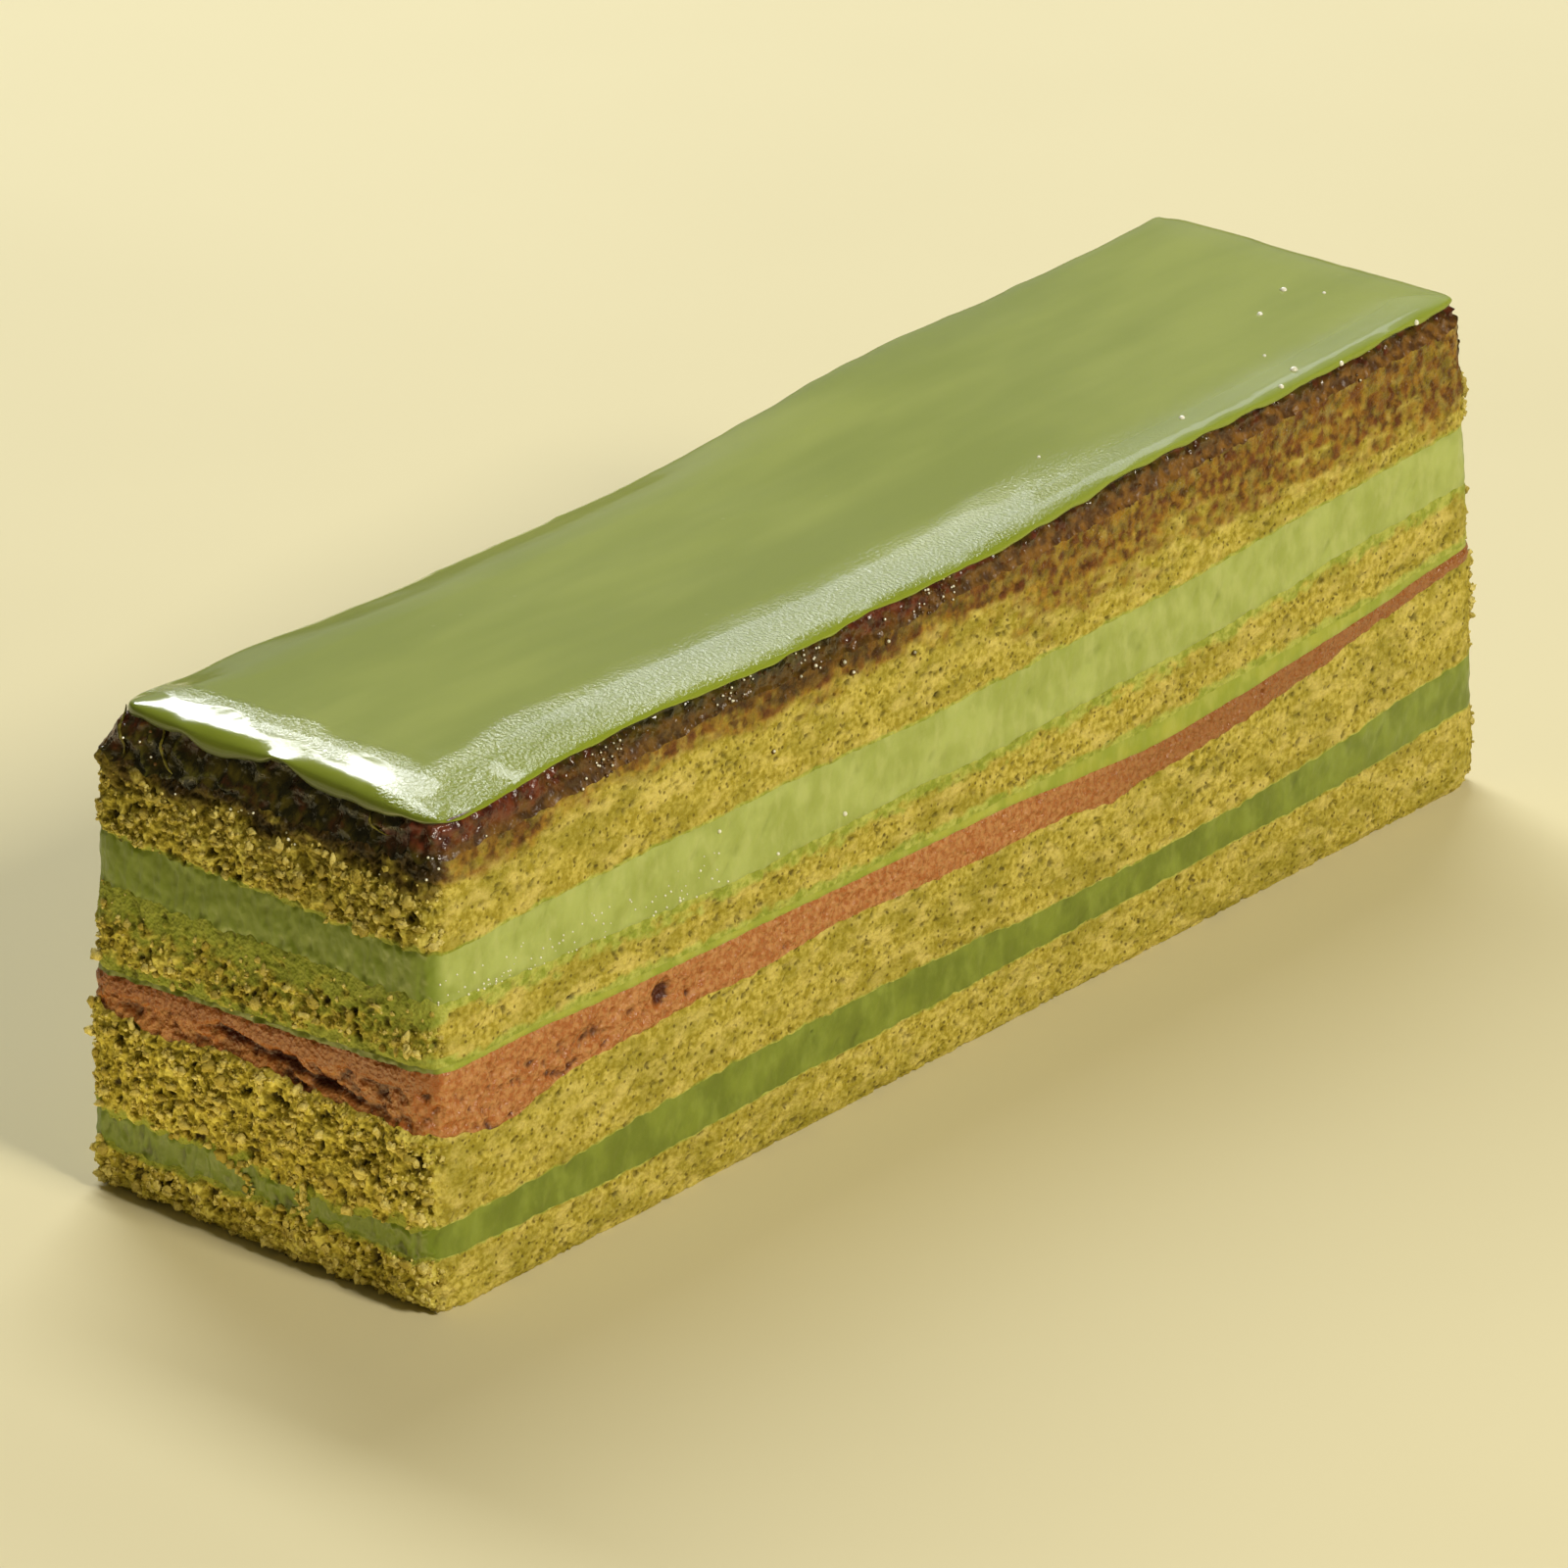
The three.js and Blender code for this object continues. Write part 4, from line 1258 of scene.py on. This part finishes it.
plain_sponge = sponge_finish("sponge")
soaked_sponge = sponge_finish("sponge_soaked", soaked=True)
sponges = [make_sponge(order, plain_sponge) for order in (0, 2, 5)]
sponges.append(make_sponge(7, soaked_sponge, "sponge_soaked"))
cream_dark = cream_finish("cream_dark", "94a244", "829030", "6e7c24", "6a7c1a", "3c4410")
cream_light = cream_finish("cream_light", "bcc478", "aeba66", "9ca850", "72841c", "707c28")
creams = [make_cream(1, cream_dark, 0.16), make_cream(6, cream_light, 0.12)]
make_film(cream_finish("cream_bright", "bcc060", "acb040", "94a030", "5c661c", "54561c"))
make_ganache(ganache_finish())
jam = make_jam(jam_finish())
top = make_glaze(glaze_finish())

torn_faces = [surface for surface, cling in sponges]
room = ON_END * SPACING
clinging = [room * cling * smooth(-0.9, 0.9, noise(surface, 1.8, 610)) for surface, cling in sponges]
pinched = creams[0]
covered = smooth(0.1, 0.5, noise(pinched, 2.5, 611)) * smooth(11, 6, np.abs(pinched[..., 0]))
holding = torn_faces + [pinched]
chances = clinging + [NEAR * room * covered]
loose = crumb_finish()
for crumbs_name, crumbs_like in CRUMBS.items():
    make_crumbs(crumbs_name, holding, chances, *crumbs_like, loose)

luck = np.random.default_rng(5)
wet = np.maximum(ON_RIGHT, 0.2 * ON_END * NEAR) * SPACING * smooth(0.1, 0.5, noise(jam, 5.0, 621))
wet = wet * (1 - 0.85 * far_half(jam))
where, away = scattered([jam], [wet], SMALL_DROPS, luck)
small_drops = list(zip(where, away, luck.uniform(*SMALL_DROP_RADII, SMALL_DROPS)))
big_drops = [(*on_right(torn_faces + [jam], y, z), radius) for y, z, radius in DROPS]
drops = small_drops + big_drops
make_drops("jam_drops", drops, wet_finish("drop", 0.08, 0.6, "4a3014", "6c4c28", 0.5))
# Pale beads that paint glints: painted highlights.
shining = wet_finish("glint", 0.08, 0.6, "e4e4d0", "fcfcf0", 0.5)
glints = [glint_on(drop) for drop in drops[::3] + big_drops]
glints += [(*on_near([torn_faces[-1], jam], x, z), radius) for x, z, radius in END_GLINTS]
make_drops("jam_glints", glints, shining)
fine_beads = zip(luck.uniform(*BEADS_ALONG, FINE_BEADS), luck.uniform(*BEADS_UP, FINE_BEADS),
                 luck.uniform(*FINE_BEAD_RADII, FINE_BEADS))
beads = [(*on_right(creams, y, z), radius) for y, z, radius in [*BEADS, *fine_beads]]
make_drops("cream_glints", beads, shining)
make_drops("glaze_glints", [bubble_on(top, *bubble) for bubble in BUBBLES], shining)
make_strings(jam, wet_finish("jam_string", 0.25, 0.5, "4c4414", "8c8432", 0.8))


# === Floor, lights and camera

def turned(back, roll):
    """The rotation of what looks away from `back`, level but for its roll in degrees."""
    return back.to_track_quat("Z", "Y") @ Quaternion((0, 0, 1), math.radians(roll))


def make_floor():
    side = 3000.0
    drop = -0.05
    corners = np.array([[-side, -side, drop], [side, -side, drop], [side, side, drop], [-side, side, drop]])
    f = Finish("floor", 0.8, 0.2)
    f.colour(f.mottled("dad2ab", "dcd4ad", 60, 2, (0.3, 0.7)))
    to_object("floor", corners, [(0, 1, 2, 3)], f.material)


def make_light(name, place, faced, size, roll, watts, colour):
    """A soft light. Unrolled, its width lies level."""
    data = bpy.data.lights.new(name, "AREA")
    data.shape = "RECTANGLE"
    data.size, data.size_y = size
    data.energy = watts
    data.color = rgb(colour)[:3]
    light = bpy.data.objects.new(name, data)
    light.location = place
    light.rotation_euler = turned(Vector(place) - Vector(faced), roll).to_euler()
    light.visible_camera = False
    bpy.context.collection.objects.link(light)


def make_world():
    world = bpy.data.worlds.new("studio")
    world.use_nodes = True
    sky = world.node_tree.nodes["Background"]
    sky.inputs["Color"].default_value = rgb(WORLD_COLOUR)
    sky.inputs["Strength"].default_value = WORLD_STRENGTH
    bpy.context.scene.world = world


def make_camera():
    azimuth, elevation = math.radians(AZIMUTH), math.radians(ELEVATION)
    back = Vector((math.sin(azimuth) * math.cos(elevation), -math.cos(azimuth) * math.cos(elevation),
                   math.sin(elevation)))
    data = bpy.data.cameras.new("camera")
    data.lens = LENS
    data.sensor_width = SENSOR
    data.clip_start, data.clip_end = CLIPS
    camera = bpy.data.objects.new("camera", data)
    camera.matrix_world = Matrix.LocRotScale((Vector(AIM) + back * DISTANCE) * MM, turned(back, ROLL), None)
    bpy.context.collection.objects.link(camera)
    bpy.context.scene.camera = camera


make_floor()
for light_name, settings in LIGHTS.items():
    make_light(light_name, *settings)
make_world()
make_camera()
bpy.context.scene.view_settings.view_transform = "Standard"
